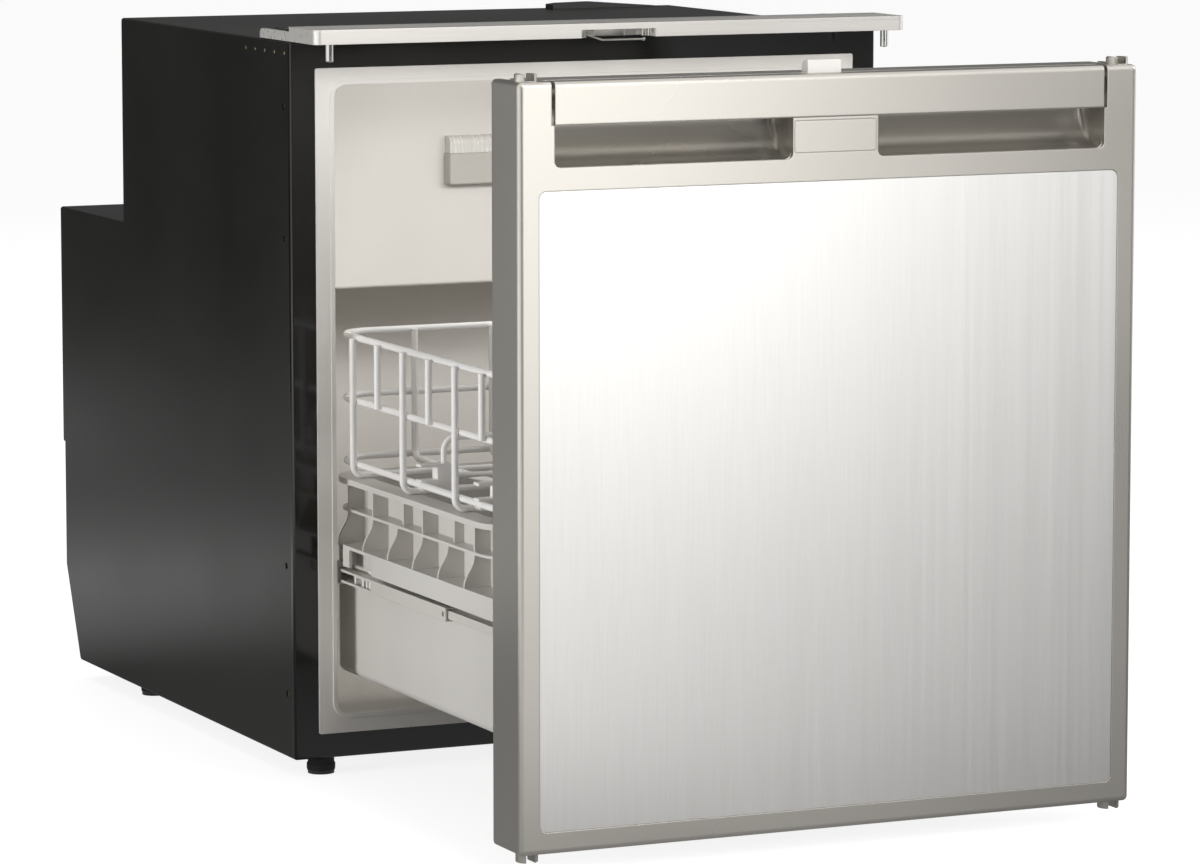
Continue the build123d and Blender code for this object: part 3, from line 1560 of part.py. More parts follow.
def evaporator_pipes():
    """The suction line to the compressor and the capillary line from the drier."""
    back = evaporator_y + evaporator_sheet
    z = pipe_bore_z
    suction = [(suction_x, back, z), (suction_x, compressor_y, z),
               (suction_x, compressor_y, suction_stub_z)]
    capillary = [(capillary_x, back, z), (capillary_x, drier_y, z), (drier_x, drier_y, z),
                 (drier_x, drier_y, drier_top)]
    return [pipe_run(suction, pipe_bend), pipe_run(capillary, pipe_bend)]


def condenser_pipes():
    """The discharge line into the condenser and the liquid line out of it to the drier."""
    tube_y = (condenser_front_y + condenser_rear_y) / 2
    first_z = condenser_bottom + tube_row_height / 2
    last_z = condenser_top - tube_row_height / 2
    x0 = condenser_right + tube_overhang
    left = compressor_left - stub_length
    riser_x = (x0 + left) / 2
    outer_x = x0 + liquid_reach
    low_z = drier_bottom - liquid_drop
    discharge = [(left, compressor_y, compressor_z), (riser_x, compressor_y, compressor_z),
                 (riser_x, compressor_y, first_z), (riser_x, tube_y, first_z), (x0, tube_y, first_z)]
    liquid = [(x0, tube_y, last_z), (outer_x, tube_y, last_z), (outer_x, tube_y, low_z),
              (drier_x, tube_y, low_z), (drier_x, drier_y, low_z), (drier_x, drier_y, drier_bottom)]
    return [pipe_run(discharge, pipe_diameter), pipe_run(liquid, pipe_diameter)]


def build_pipes():
    pipes = []
    for line, start, direction in evaporator_pipes() + condenser_pipes():
        pipes.append(wire_along(line, start, direction, pipe_diameter))
    return pipes


def pipe_holes():
    """What the evaporator's pipes take out of the walls they cross."""
    holes = []
    for line, start, direction in evaporator_pipes():
        holes.append(wire_along(line, start, direction, pipe_diameter + 2 * pipe_clearance))
    return holes


def build_rear_cover():
    y0 = lower_depth
    end = cover_rear_y + 1
    cover = slab(-half_width, half_width, rear_cover_bottom, step_height, border_edge_radius,
                 y0, cover_rear_y)
    cover = fillet(cover.faces().sort_by(Axis.Y)[-1].edges(), border_edge_radius * 0.7)
    cover -= block(-rear_opening_half_width, rear_opening_half_width, y0 - 1,
                   cover_rear_y - rear_cover_sheet, rear_opening_bottom, rear_opening_top)
    cover -= slab(grille_left, grille_right, grille_bottom, grille_top, grille_radius, y0, end)
    for number in range(grille_rows):
        z = grille_bottom + number * grille_slot_pitch
        cover -= slab(compressor_x - louvre_left_reach, compressor_x + louvre_right_reach, z,
                      z + grille_slot_height, grille_slot_height * 0.4, y0, end)
    return cover


def build_rear_grille():
    y1 = cover_rear_y - grille_sunk
    y0 = y1 - grille_sheet
    grille = slab(grille_left, grille_right, grille_bottom, grille_top, grille_radius, y0, y1)
    middle = (grille_left + grille_right) / 2
    left_half = (grille_left + grille_edge, middle - grille_bar)
    right_half = (middle + grille_bar, grille_right - grille_edge)
    for number in range(grille_rows):
        z = grille_bottom + (number + 0.5) * grille_slot_pitch - (grille_slot_height - 2) / 2
        for x0, x1 in (left_half, right_half):
            grille -= slab(x0, x1, z, z + grille_slot_height, grille_slot_height * 0.4, y0 - 1, y1 + 1)
    return grille


def build_rear_cover_screws():
    screws = []
    half = cross_length / 2
    thin = cross_width / 2
    face = cover_rear_y + cover_screw_head
    for x in (-half_width + cover_screw_inset, 0, half_width - cover_screw_inset):
        for z in (rear_cover_bottom + cover_screw_margin, step_height - cover_screw_margin):
            head = rod((x, cover_rear_y, z), (x, face, z), cover_screw_diameter)
            head = fillet(head.faces().sort_by(Axis.Y)[-1].edges(), cover_screw_head * 0.5)
            cross = block(x - half, x + half, face - cross_depth, face + 1, z - thin, z + thin)
            cross += block(x - thin, x + thin, face - cross_depth, face + 1, z - half, z + half)
            screws.append(head - cross)
    return screws


def build_cable_grommet():
    """The rubber gland in the back where the supply cable enters."""
    y0 = lower_depth - casing_sheet - 2
    y1 = lower_depth + gland_proud
    flange_diameter = gland_diameter + 2 * gland_flange_width
    body = rod((gland_x, y0, gland_z), (gland_x, y1, gland_z), gland_diameter)
    body += rod((gland_x, lower_depth, gland_z), (gland_x, y1, gland_z), flange_diameter)
    return body - rod((gland_x, y0 - 1, gland_z), (gland_x, y1 + 1, gland_z), gland_bore)


def main():
    os.makedirs("parts", exist_ok=True)
    shell = casing_shell()
    save("front_casing", build_front_casing(shell))
    save("rear_casing", build_rear_casing(shell))
    save("front_border", build_front_border())
    save("liner", build_liner())
    save("insulation_foam", build_foam())
    save("machine_wall", build_machine_wall())
    save("feet", *build_feet())
    save("top_wedge", build_top_wedge())
    save("top_bar", build_top_bar())
    save("bar_arms", build_bar_arms())
    save("bar_foot_plates", build_bar_foot_plates())
    save("bar_screws", *build_bar_screws())
    save("bar_pins", *build_bar_pins())
    save("striker", build_striker())
    save("vent_lever", build_vent_lever())
    save("lever_knob", build_lever_knob())
    save("catch_pins", *build_catch_pins())
    save("evaporator_cover", build_evaporator_cover())
    save("evaporator", build_evaporator())
    save("control_housing", build_control_housing())
    save("lamp_lens", build_lamp_lens())
    save("thermostat_knob", build_thermostat_knob())
    outer = build_runner_outer()
    middle = build_runner_middle()
    inner = build_runner_inner()
    for name, rail in (("runner_outer", outer), ("runner_middle", middle), ("runner_inner", inner)):
        save(name + "_right", rail)
        save(name + "_left", mirror(rail, about=Plane.YZ))
    save("runner_clips", build_runner_clips())
    save("drawer_bezel", build_drawer_bezel())
    save("front_panel", build_front_panel())
    save("grip_recess", build_grip_recess())
    save("centre_plate", build_centre_plate())
    save("handle_band", build_handle_band())
    save("handle_pins", build_handle_pins())
    save("locator_caps_top", *build_caps_top())
    save("locator_caps_bottom", *build_caps_bottom())
    save("latch_housing", build_latch_housing())
    save("latch_bolt", build_latch_bolt())
    save("latch_spring", build_latch_spring())
    save("front_foam", build_front_foam())
    save("drawer_inner_liner", build_drawer_inner_liner())
    save("gasket", build_gasket())
    save("drawer_tub", build_tub())
    save("basket", build_basket())
    save("divider_rear", build_divider(divider_rear_y))
    save("divider_front", build_divider(divider_front_y))
    save("compressor", build_compressor())
    save("compressor_bracket", build_compressor_bracket())
    save("compressor_grommets", *build_grommets())
    save("condenser", build_condenser())
    save("fan_frame", build_fan_frame())
    save("fan_rotor", build_fan_rotor())
    save("electronics_module", build_electronics())
    save("filter_drier", build_drier())
    save("refrigerant_pipes", *build_pipes())
    save("rear_cover", build_rear_cover())
    save("rear_grille", build_rear_grille())
    save("rear_cover_screws", *build_rear_cover_screws())
    save("cable_grommet", build_cable_grommet())


main()
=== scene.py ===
# %% [markdown]
# # A drawer fridge, pulled open
# A small built-in fridge whose whole front slides out as a drawer. The construction is
# already there as solids, so this lesson is about finish: sheet steel, brushed metal,
# moulded plastic and coated wire, and the two pieces that need a softer or finer shape.
#
# ## The frame
# The frame holds every solid in its place, the bodies that move, and the record of what
# each piece is made of. Sizes below are read from it, so they follow when a solid changes.

# %% Load the frame
import bpy
import bmesh
import json
import math
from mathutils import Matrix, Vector


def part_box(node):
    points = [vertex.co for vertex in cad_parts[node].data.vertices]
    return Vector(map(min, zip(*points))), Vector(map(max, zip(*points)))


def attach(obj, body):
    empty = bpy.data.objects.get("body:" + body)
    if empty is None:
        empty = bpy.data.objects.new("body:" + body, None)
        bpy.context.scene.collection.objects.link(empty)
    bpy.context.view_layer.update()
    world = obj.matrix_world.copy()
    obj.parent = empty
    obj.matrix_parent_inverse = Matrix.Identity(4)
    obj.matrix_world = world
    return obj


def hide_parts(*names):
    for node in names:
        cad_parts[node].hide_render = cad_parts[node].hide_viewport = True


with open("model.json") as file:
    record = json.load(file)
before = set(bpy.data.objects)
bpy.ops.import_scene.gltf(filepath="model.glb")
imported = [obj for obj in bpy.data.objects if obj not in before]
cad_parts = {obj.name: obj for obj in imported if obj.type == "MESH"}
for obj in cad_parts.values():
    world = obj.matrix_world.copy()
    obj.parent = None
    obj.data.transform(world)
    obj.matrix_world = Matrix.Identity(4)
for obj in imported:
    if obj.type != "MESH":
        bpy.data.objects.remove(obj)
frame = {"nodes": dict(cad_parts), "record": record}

nodes = frame["nodes"]
scene = bpy.context.scene
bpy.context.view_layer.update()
MM = 0.001

# %% [markdown]
# ## The camera
# The photograph is a long-lens picture from the left and a little above. A camera could be
# turned by hand until edges line up, but the place and the focal length were solved from
# edges of the object. So the camera is set from four things: how far round and how high it
# stands, how far away, the point that it looks at, and the lens.

# %% Camera
VIEW_AZIMUTH = -24.5157
VIEW_ELEVATION = 7.4055
VIEW_DISTANCE = 3.84294
VIEW_TARGET = Vector((0.0051235, -0.0608653, 0.2302545))
FOCAL_PIXELS = 5458.26
PHOTO_WIDTH = 1200
SENSOR_WIDTH = 36.0
CLIP_END = 60.0


def direction_from(azimuth, elevation):
    """A unit vector from the object towards someone who stands there."""
    a, e = math.radians(azimuth), math.radians(elevation)
    return Vector((math.sin(a) * math.cos(e), -math.cos(a) * math.cos(e), math.sin(e)))


def link(name, data):
    """Make an object of some data and put it in the scene."""
    item = bpy.data.objects.new(name, data)
    scene.collection.objects.link(item)
    return item


def place_camera():
    """Add the camera and look at the target along the solved direction."""
    data = bpy.data.cameras.new("photo_camera")
    data.sensor_width = SENSOR_WIDTH
    data.lens = FOCAL_PIXELS / PHOTO_WIDTH * SENSOR_WIDTH
    data.clip_end = CLIP_END
    camera = link("photo_camera", data)
    backward = direction_from(VIEW_AZIMUTH, VIEW_ELEVATION)
    camera.location = VIEW_TARGET + backward * VIEW_DISTANCE
    camera.rotation_euler = backward.to_track_quat("Z", "Y").to_euler()
    scene.camera = camera
    return camera


print("camera at", [round(v, 3) for v in place_camera().location])

# %% [markdown]
# ## Helpers for materials
# Every finish here is a small network of nodes around one shader. An image could carry the
# grain, but noise needs no picture and no unwrapping. It is read in object coordinates, in
# metres, so that a grain of half a millimetre stays half a millimetre on every piece. A
# bevel node rounds what the light sees of each edge by half a millimetre, or by more where
# a finish asks for it, because no moulded or folded edge is truly sharp.

# %% Material helpers
MICRON = 0.001 * MM
EDGE_ROUNDING = 0.5 * MM
EDGE_SAMPLES = 4
NOISE_LOW, NOISE_HIGH = 0.3, 0.7
EVEN_GRAIN = (1.0, 1.0, 1.0)


def srgb(code):
    """A colour code as linear numbers."""
    parts = [int(code[i:i + 2], 16) / 255 for i in (1, 3, 5)]
    return tuple(p / 12.92 if p <= 0.04045 else ((p + 0.055) / 1.055) ** 2.4 for p in parts)


class Finish:
    """A material with its node tree at hand, so that each finish reads as a short list."""

    def __init__(self, name, edge=EDGE_ROUNDING):
        self.material = bpy.data.materials.new(name)
        self.material.use_nodes = True
        self.tree = self.material.node_tree
        self.shader = self.tree.nodes["Principled BSDF"]
        self.place = self.tree.nodes.new("ShaderNodeTexCoord").outputs["Object"]
        rounding = self.tree.nodes.new("ShaderNodeBevel")
        rounding.samples = EDGE_SAMPLES
        rounding.inputs["Radius"].default_value = edge
        self.tree.links.new(rounding.outputs["Normal"], self.shader.inputs["Normal"])

    def set(self, **values):
        """Set plain numbers and colours on the shader's own sockets."""
        for key, value in values.items():
            self.shader.inputs[key.replace("_", " ")].default_value = value
        return self

    def noise(self, per_metre, detail=2.0, stretch=EVEN_GRAIN):
        """A noise with so many cells to the metre, drawn out where stretch is small."""
        mapping = self.tree.nodes.new("ShaderNodeMapping")
        mapping.inputs["Scale"].default_value = [per_metre * share for share in stretch]
        texture = self.tree.nodes.new("ShaderNodeTexNoise")
        texture.inputs["Scale"].default_value = 1.0
        texture.inputs["Detail"].default_value = detail
        self.tree.links.new(self.place, mapping.inputs["Vector"])
        self.tree.links.new(mapping.outputs["Vector"], texture.inputs["Vector"])
        return texture.outputs["Fac"]

    def colours(self, value, first, second):
        """Blend two colours by a noise and give the result to the shader."""
        node = self.tree.nodes.new("ShaderNodeValToRGB")
        ends = ((NOISE_LOW, first), (NOISE_HIGH, second))
        for element, (position, code) in zip(node.color_ramp.elements, ends):
            element.position = position
            element.color = (*srgb(code), 1.0)
        self.tree.links.new(value, node.inputs["Fac"])
        self.tree.links.new(node.outputs["Color"], self.shader.inputs["Base Color"])
        return self

    def rough(self, value, low, high):
        """Let a noise vary the roughness."""
        node = self.tree.nodes.new("ShaderNodeMapRange")
        node.inputs["From Min"].default_value = NOISE_LOW
        node.inputs["From Max"].default_value = NOISE_HIGH
        node.inputs["To Min"].default_value = low
        node.inputs["To Max"].default_value = high
        self.tree.links.new(value, node.inputs["Value"])
        self.tree.links.new(node.outputs["Result"], self.shader.inputs["Roughness"])
        return self

    def bump(self, value, height):
        """Raise the surface by a noise, height in metres, on top of what is there."""
        node = self.tree.nodes.new("ShaderNodeBump")
        node.inputs["Distance"].default_value = height
        node.inputs["Strength"].default_value = 1.0
        self.tree.links.new(value, node.inputs["Height"])
        before = self.shader.inputs["Normal"].links[0].from_socket
        self.tree.links.new(before, node.inputs["Normal"])
        self.tree.links.new(node.outputs["Normal"], self.shader.inputs["Normal"])
        return self


print("edges are rounded by", EDGE_ROUNDING / MM, "mm; mid grey is",
      [round(value, 3) for value in srgb("#808080")])

# %% [markdown]
# ## Sheet steel and black plastic
# The cabinet is folded steel with a satin powder coat: nearly black, a little warm, with
# the faint orange-peel of sprayed powder. One black for all would look like a toy, so three
# kinds are made. The border round the mouth is polished plastic under a thin clear coat, and
# the feet and clips are dull, with a grain that also varies how they shine.

# %% Black finishes


def powder_coat():
    """Satin black with a fine orange-peel, for folded sheet."""
    finish = Finish("satin powder coat")
    cloud = finish.noise(9.0, 3.0)
    finish.colours(cloud, "#0f0f0c", "#141411")
    finish.rough(cloud, 0.22, 0.27)
    finish.bump(finish.noise(1400.0, 1.0), 12 * MICRON)
    return finish.material


def black_gloss():
    """Polished black, not quite flat, so that reflections waver a little."""
    finish = Finish("polished black plastic")
    cloud = finish.noise(14.0)
    finish.colours(cloud, "#0c0c0b", "#121210")
    finish.rough(cloud, 0.1, 0.16)
    finish.bump(finish.noise(60.0, 1.0), 20 * MICRON)
    return finish.set(Coat_Weight=0.3, Coat_Roughness=0.06).material


def dull_black(name, first, second, grains_per_metre, roughness):
    """A black with a visible grain, for moulded plastic and for rubber."""
    finish = Finish(name)
    grain = finish.noise(grains_per_metre)
    finish.colours(grain, first, second)
    finish.rough(grain, roughness, roughness + 0.2)
    return finish.bump(grain, 30 * MICRON).material


finishes = {
    "black_sheet": powder_coat(),
    "black_gloss": black_gloss(),
    "machine_black": black_gloss(),
    "black_rubber": dull_black("black rubber", "#121212", "#1c1c1b", 900.0, 0.6),
    "black_plastic": dull_black("dull black plastic", "#151514", "#222221", 2200.0, 0.45),
    "black_steel": dull_black("blackened steel", "#121211", "#1d1d1c", 1500.0, 0.3),
}
print("black finishes", sorted(finishes))

# %% [markdown]
# ## Silver plastic and brushed metal
# The frame of the drawer is moulded plastic with a metallic lacquer, so it is softer than
# metal: fine flakes, no grain. The panel inside it is real sheet, brushed from top to
# bottom. Brushing could be an image of streaks. Here it is the same noise as elsewhere,
# drawn out more than a hundred times along the way of the brush, and the shader's own
# anisotropy spreads the light across it. Plated sheet and pipe have no such direction.

# %% Silver finishes
VERTICAL_GRAIN = (1.0, 1.0, 0.008)
CROSS_GRAIN = (0.008, 1.0, 1.0)
LACQUER_ROUNDING = 0.9 * MM


def silver_lacquer():
    """Metallic lacquer on plastic: fine flakes, and edges rounder than those of sheet."""
    finish = Finish("silver lacquer", LACQUER_ROUNDING)
    flakes = finish.noise(5200.0, 1.0)
    cloud = finish.noise(5.0)
    finish.colours(flakes, "#c5c1b9", "#d1cdc6")
    finish.rough(cloud, 0.27, 0.31)
    finish.bump(flakes, 4 * MICRON)
    return finish.set(Metallic=0.92).material


def brushed(name, dark, light, stretch, roughness, bump=4 * MICRON, anisotropy=0.4,
            metallic=1.0):
    """Brushed sheet metal, with its grain drawn out along one axis."""
    finish = Finish(name)
    fine = finish.noise(2600.0, 3.0, stretch)
    broad = finish.noise(260.0, 2.0, stretch)
    finish.colours(fine, dark, light)
    finish.rough(broad, roughness - 0.01, roughness + 0.02)
    finish.bump(fine, bump)
    return finish.set(Metallic=metallic, Anisotropic=anisotropy).material


def bright_chrome():
    """Chrome plating, nearly a mirror."""
    finish = Finish("bright chrome")
    cloud = finish.noise(60.0)
    finish.colours(cloud, "#dededc", "#eaeae8")
    finish.rough(cloud, 0.05, 0.1)
    return finish.set(Metallic=1.0).material


finishes.update({
    "silver_plastic": silver_lacquer(),
    "brushed_panel": brushed("brushed panel", "#f5f3ef", "#fbfaf8", VERTICAL_GRAIN, 0.34, MICRON),
    "bar_aluminium": brushed("anodised aluminium", "#ece8e2", "#f1eee9", CROSS_GRAIN, 0.28,
                             0.8 * MICRON, metallic=0.65),
    "bright_chrome": bright_chrome(),
    "lever_steel": brushed("dull steel lever", "#8d8e88", "#a9aaa3", CROSS_GRAIN, 0.35),
    "zinc_sheet": brushed("zinc-plated sheet", "#8f8f8b", "#a6a6a2", EVEN_GRAIN, 0.42,
                          anisotropy=0.0),
    "evaporator_aluminium": brushed("evaporator sheet", "#b4b4b1", "#cdcdca", CROSS_GRAIN, 0.35),
    "condenser_aluminium": brushed("condenser fins", "#84868a", "#9b9da0", VERTICAL_GRAIN, 0.4),
    "copper": brushed("copper pipe", "#a8683f", "#c4835a", EVEN_GRAIN, 0.3, anisotropy=0.0),
})
print("finishes so far", len(finishes))

# %% [markdown]
# ## White and grey mouldings
# The liner is vacuum-formed and shiny, the tub is injection-moulded and a shade darker,
# and the wires of the basket are dipped in a thick white coat. They differ in colour, shine
# and skin only, so one function makes them all. The foam behind the liner is cut open
# cells, and the lamp's window is a ribbed plastic that lets some light through.

# %% Light plastics
SKIN_GRAIN = 0.6 * MM
LENS_RIBS = (1.0, 0.05, 0.05)


def moulded(name, first, second, roughness, bump=10 * MICRON, coat=0.0):
    """Moulded plastic with a faint cloud in its colour and a fine skin."""
    finish = Finish(name)
    cloud = finish.noise(7.0)
    finish.colours(cloud, first, second)
    finish.rough(cloud, roughness, roughness + 0.06)
    finish.bump(finish.noise(1.0 / SKIN_GRAIN), bump)
    return finish.set(Coat_Weight=coat, Coat_Roughness=0.12).material


def rigid_foam():
    """Yellowish foam with visible cells."""
    finish = Finish("rigid foam")
    cells = finish.noise(700.0, 4.0)
    finish.colours(cells, "#d9c88f", "#eadfb6")
    finish.rough(cells, 0.8, 0.95)
    return finish.bump(cells, 400 * MICRON).material


def clear_lens():
    """Milky window over the lamp, ribbed along its length."""
    finish = Finish("lamp lens")
    ribs = finish.noise(700.0, 1.0, LENS_RIBS)
    finish.colours(ribs, "#e9e7e1", "#f2f0eb")
    finish.rough(ribs, 0.2, 0.3)
    finish.bump(ribs, 20 * MICRON)
    return finish.set(Transmission_Weight=0.15, IOR=1.49).material


finishes.update({
    "liner_white": moulded("vacuum-formed liner", "#dfdbd5", "#e6e3de", 0.3, coat=0.1),
    "grey_plastic": moulded("grey plastic", "#bab7b0", "#c3c0b9", 0.4),
    "runner_coat": moulded("coated runner", "#c3c0b9", "#cbc8c1", 0.32, bump=4 * MICRON),
    "clip_white": moulded("white clip plastic", "#e3e1dc", "#eceae6", 0.3),
    "gasket_grey": moulded("gasket", "#5f5e5b", "#6a6966", 0.55),
    "tub_grey": moulded("tub plastic", "#cac7c1", "#d2cfca", 0.32, coat=0.1),
    "basket_wire": moulded("white wire coat", "#efedea", "#f6f4f2", 0.2, bump=20 * MICRON,
                           coat=0.5),
    "foam": rigid_foam(),
    "lens_clear": clear_lens(),
})
print("finishes in all", len(finishes))

# %% [markdown]
# ## Every solid gets its finish
# Each piece on the real object is of one material, and the record says which, by a slot. A
# piece could be given its finish by hand, but one pass over the record can't forget any,
# and a piece whose slot has no finish stops the script here.

# %% Give every solid its finish
slot_of = {part["node"]: part["material_slot"] for part in frame["record"]["subparts"]}
for name, piece in nodes.items():
    piece.data.materials.clear()
    piece.data.materials.append(finishes[slot_of[name]])
print("slots in use", len(set(slot_of.values())), "pieces", len(nodes))

# %% [markdown]
# ## Round wire
# The real basket is bent from one thickness of wire, spot-welded where wires cross, and
# dipped in white. It could be built from cylinders, but a curve with a round bevel is that
# wire: the path is the centre line, and each corner is an arc of short steps, which looks
# smooth from near too. The coat adds about half a millimetre all round.

# %% Paths with round corners
ARC_STEPS = 10


def arc_points(centre, u, v, radius, turn):
    """Points on an arc in the plane of u and v."""
    points = []
    for step in range(ARC_STEPS + 1):
        angle = turn * step / ARC_STEPS
        points.append(centre + (u * math.cos(angle) + v * math.sin(angle)) * radius)
    return points


def rounded_path(corners, radius, closed=False):
    """A path with an arc in place of each corner, except at the ends of an open one."""
    count = len(corners)
    path = []
    for index in range(count):
        here = corners[index]
        if not closed and index in (0, count - 1):
            path.append(here)
            continue
        before = (corners[index - 1] - here).normalized()
        after = (corners[(index + 1) % count] - here).normalized()
        half = before.angle(after) / 2
        start = here + before * radius / math.tan(half)
        middle = (before + after).normalized()
        centre = here + middle * radius / math.sin(half)
        u = (start - centre).normalized()
        path.extend(arc_points(centre, u, -before, radius, math.pi - 2 * half))
    return path


elbow = rounded_path([Vector((0, 0, 0)), Vector((1, 0, 0)), Vector((1, 1, 0))], 0.2)
print("an elbow of one bend has", len(elbow), "points")

# %% [markdown]
# ## From wire to piece
# A curve is easy to bend but has no faces of its own, so each set of wires is turned into
# one mesh at the end. The mesh rides on the body that carries it and names the record's
# slot for its finish, so it moves and is dressed as the solid is that it stands for.

# %% Pieces of wire
WIRE_ROUNDNESS = 5


def add_piece(name, mesh, body, slot_name):
    """Link a mesh as a piece that rides on a body and takes a slot's finish."""
    mesh.name = name
    piece = link(name, mesh)
    mesh.materials.clear()
    mesh.materials.append(finishes[slot_name])
    for polygon in mesh.polygons:
        polygon.use_smooth = True
    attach(piece, body)
    return piece


def wire_piece(name, runs, radius, body, slot_name):
    """One object of round wires, each run a list of points and whether it is closed."""
    data = bpy.data.curves.new(name, "CURVE")
    data.dimensions = "3D"
    data.bevel_depth = radius
    data.bevel_resolution = WIRE_ROUNDNESS
    data.use_fill_caps = True
    for points, closed in runs:
        spline = data.splines.new("POLY")
        spline.points.add(len(points) - 1)
        for target, point in zip(spline.points, points):
            target.co = (*point, 1.0)
        spline.use_cyclic_u = closed
        spline.use_smooth = True
    curve = link(name + "_curve", data)
    bpy.context.view_layer.update()
    graph = bpy.context.evaluated_depsgraph_get()
    mesh = bpy.data.meshes.new_from_object(curve.evaluated_get(graph))
    bpy.data.objects.remove(curve)
    return add_piece(name, mesh, body, slot_name)


print("wires have a roundness of", WIRE_ROUNDNESS)

# %% [markdown]
# ## The wire basket
# The real basket has three closed loops, uprights bent under it from one side to the other
# with short ones between them, and floor wires from front to back. Every place comes from
# the box of the basket's solid and the rim of the tub, with the photograph's own spacing.
# Where wires cross they sink into each other a little, as a spot weld lets them.

# %% Places of the basket's wires
WIRE = 2.4 * MM
WELD_DEPTH = 0.4 * MM
CROSSING = 2 * WIRE - WELD_DEPTH
CORNER = 24 * MM
BEND = 7 * MM
LOW_LOOP_GAP = 9.5 * MM
FIRST_UPRIGHT_GAP = 42 * MM
UPRIGHT_PITCH = 45 * MM
FLOOR_PITCH = 59 * MM

low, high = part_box("basket")
TUB_RIM_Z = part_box("drawer_tub")[1].z
RIM_Z = high.z - WIRE
LOW_Z = TUB_RIM_Z + LOW_LOOP_GAP
MID_Z = (RIM_Z + LOW_Z) / 2
FLOOR_Z = low.z + WIRE
SIDE_X = high.x - WIRE
LOOP_X = SIDE_X - CROSSING
FRONT_Y = low.y + WIRE
REAR_Y = high.y - WIRE
FIRST_UPRIGHT_Y = REAR_Y - FIRST_UPRIGHT_GAP
UPRIGHT_COUNT = int((FIRST_UPRIGHT_Y - FRONT_Y - CORNER) / UPRIGHT_PITCH) + 1
FLOOR_REACH = int((LOOP_X - CORNER) / FLOOR_PITCH)
print("loops", round(2 * LOOP_X / MM), "by", round((REAR_Y - FRONT_Y) / MM), "mm,",
      UPRIGHT_COUNT, "uprights a side,", 2 * FLOOR_REACH + 1, "floor wires")

# %% [markdown]
# ## Bending the wires
# Loops are closed paths, and all others are open ones whose corners take the tighter bend.
# Every second upright is long and carries the floor, and the others only join the two upper
# loops. All of it is one object, because the real basket is one welded piece.

# %% Basket


def loop_runs():
    """The three closed loops of the basket."""
    plan = ((-LOOP_X, FRONT_Y), (LOOP_X, FRONT_Y), (LOOP_X, REAR_Y), (-LOOP_X, REAR_Y))
    for z in (RIM_Z, MID_Z, LOW_Z):
        yield rounded_path([Vector((x, y, z)) for x, y in plan], CORNER, True), True


def upright_runs():
    """Long uprights that pass under the basket, and short ones between them."""
    for number in range(UPRIGHT_COUNT):
        y = FIRST_UPRIGHT_Y - number * UPRIGHT_PITCH
        if number % 2 == 0:
            corners = [Vector((-SIDE_X, y, RIM_Z)), Vector((-SIDE_X, y, FLOOR_Z)),
                       Vector((SIDE_X, y, FLOOR_Z)), Vector((SIDE_X, y, RIM_Z))]
            yield rounded_path(corners, BEND), False
            continue
        for x in (-SIDE_X, SIDE_X):
            yield [Vector((x, y, MID_Z)), Vector((x, y, RIM_Z))], False


def floor_runs():
    """Wires from the rim at the front, along the floor, to the rim at the back."""
    z = FLOOR_Z + CROSSING
    front, rear = FRONT_Y + CROSSING, REAR_Y - CROSSING
    for number in range(-FLOOR_REACH, FLOOR_REACH + 1):
        x = number * FLOOR_PITCH
        corners = [Vector((x, front, RIM_Z)), Vector((x, front, z)),
                   Vector((x, rear, z)), Vector((x, rear, RIM_Z))]
        yield rounded_path(corners, BEND), False


runs = [*loop_runs(), *upright_runs(), *floor_runs()]
basket = wire_piece("wire_basket", runs, WIRE, "drawer", "basket_wire")
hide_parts("basket")
print("basket wires", len(runs), "faces", len(basket.data.polygons))

# %% [markdown]
# ## The gasket
# A fridge gasket is a hollow strip: a flat foot pressed into the door, a bellows that
# folds, and a soft magnet strip that pulls flat against the cabinet. The solid shows it as
# a plain bar. Here one closed outline, swept round the door, gives the outside of all three.
# It is written in shares of the strip's width and depth, so it fits whatever box it gets.

# %% Gasket
GASKET_WIDTH = 11.4 * MM
GASKET_CORNER = 5 * MM
GASKET_OUTLINE = [
    (0.0, 0.0), (1.0, 0.0), (1.0, 0.22), (0.86, 0.34), (0.94, 0.48), (0.84, 0.62),
    (0.97, 0.74), (1.0, 0.95), (0.93, 1.0), (0.07, 1.0), (0.0, 0.93), (0.02, 0.72),
    (0.14, 0.6), (0.03, 0.46), (0.15, 0.32), (0.0, 0.2),
]


def ring_mesh(name, outline, low, high, width, radius):
    """Sweep an outline, in shares across and forward, round a rounded rectangle."""
    builder = bmesh.new()
    rings = []
    for across, forward in outline:
        inset = width * (1 - across)
        left, right = low.x + inset, high.x - inset
        bottom, top = low.z + inset, high.z - inset
        plan = ((left, bottom), (right, bottom), (right, top), (left, top))
        path = rounded_path([Vector((x, 0, z)) for x, z in plan], radius + width - inset, True)
        y = low.y + (high.y - low.y) * forward
        rings.append([builder.verts.new((point.x, y, point.z)) for point in path])
    for index, ring in enumerate(rings):
        following = rings[(index + 1) % len(rings)]
        for number in range(len(ring)):
            after = (number + 1) % len(ring)
            builder.faces.new((ring[number], ring[after], following[after], following[number]))
    bmesh.ops.recalc_face_normals(builder, faces=builder.faces)
    mesh = bpy.data.meshes.new(name)
    builder.to_mesh(mesh)
    builder.free()
    return mesh


low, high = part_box("gasket")
gasket_mesh = ring_mesh("door_gasket", GASKET_OUTLINE, low, high, GASKET_WIDTH, GASKET_CORNER)
gasket = add_piece("door_gasket", gasket_mesh, "drawer", "gasket_grey")
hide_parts("gasket")
print("gasket faces", len(gasket_mesh.polygons))

# %% [markdown]
# ## Floor
# The photograph is a cut-out on white, so the floor reads as white to the eye and keeps a
# soft shadow of the object. More light on a white floor would also wash out the object.
# So the floor is grey and glows, and the glow reaches only the rays that look at it: the
# eye's, a mirror's and a glass's.

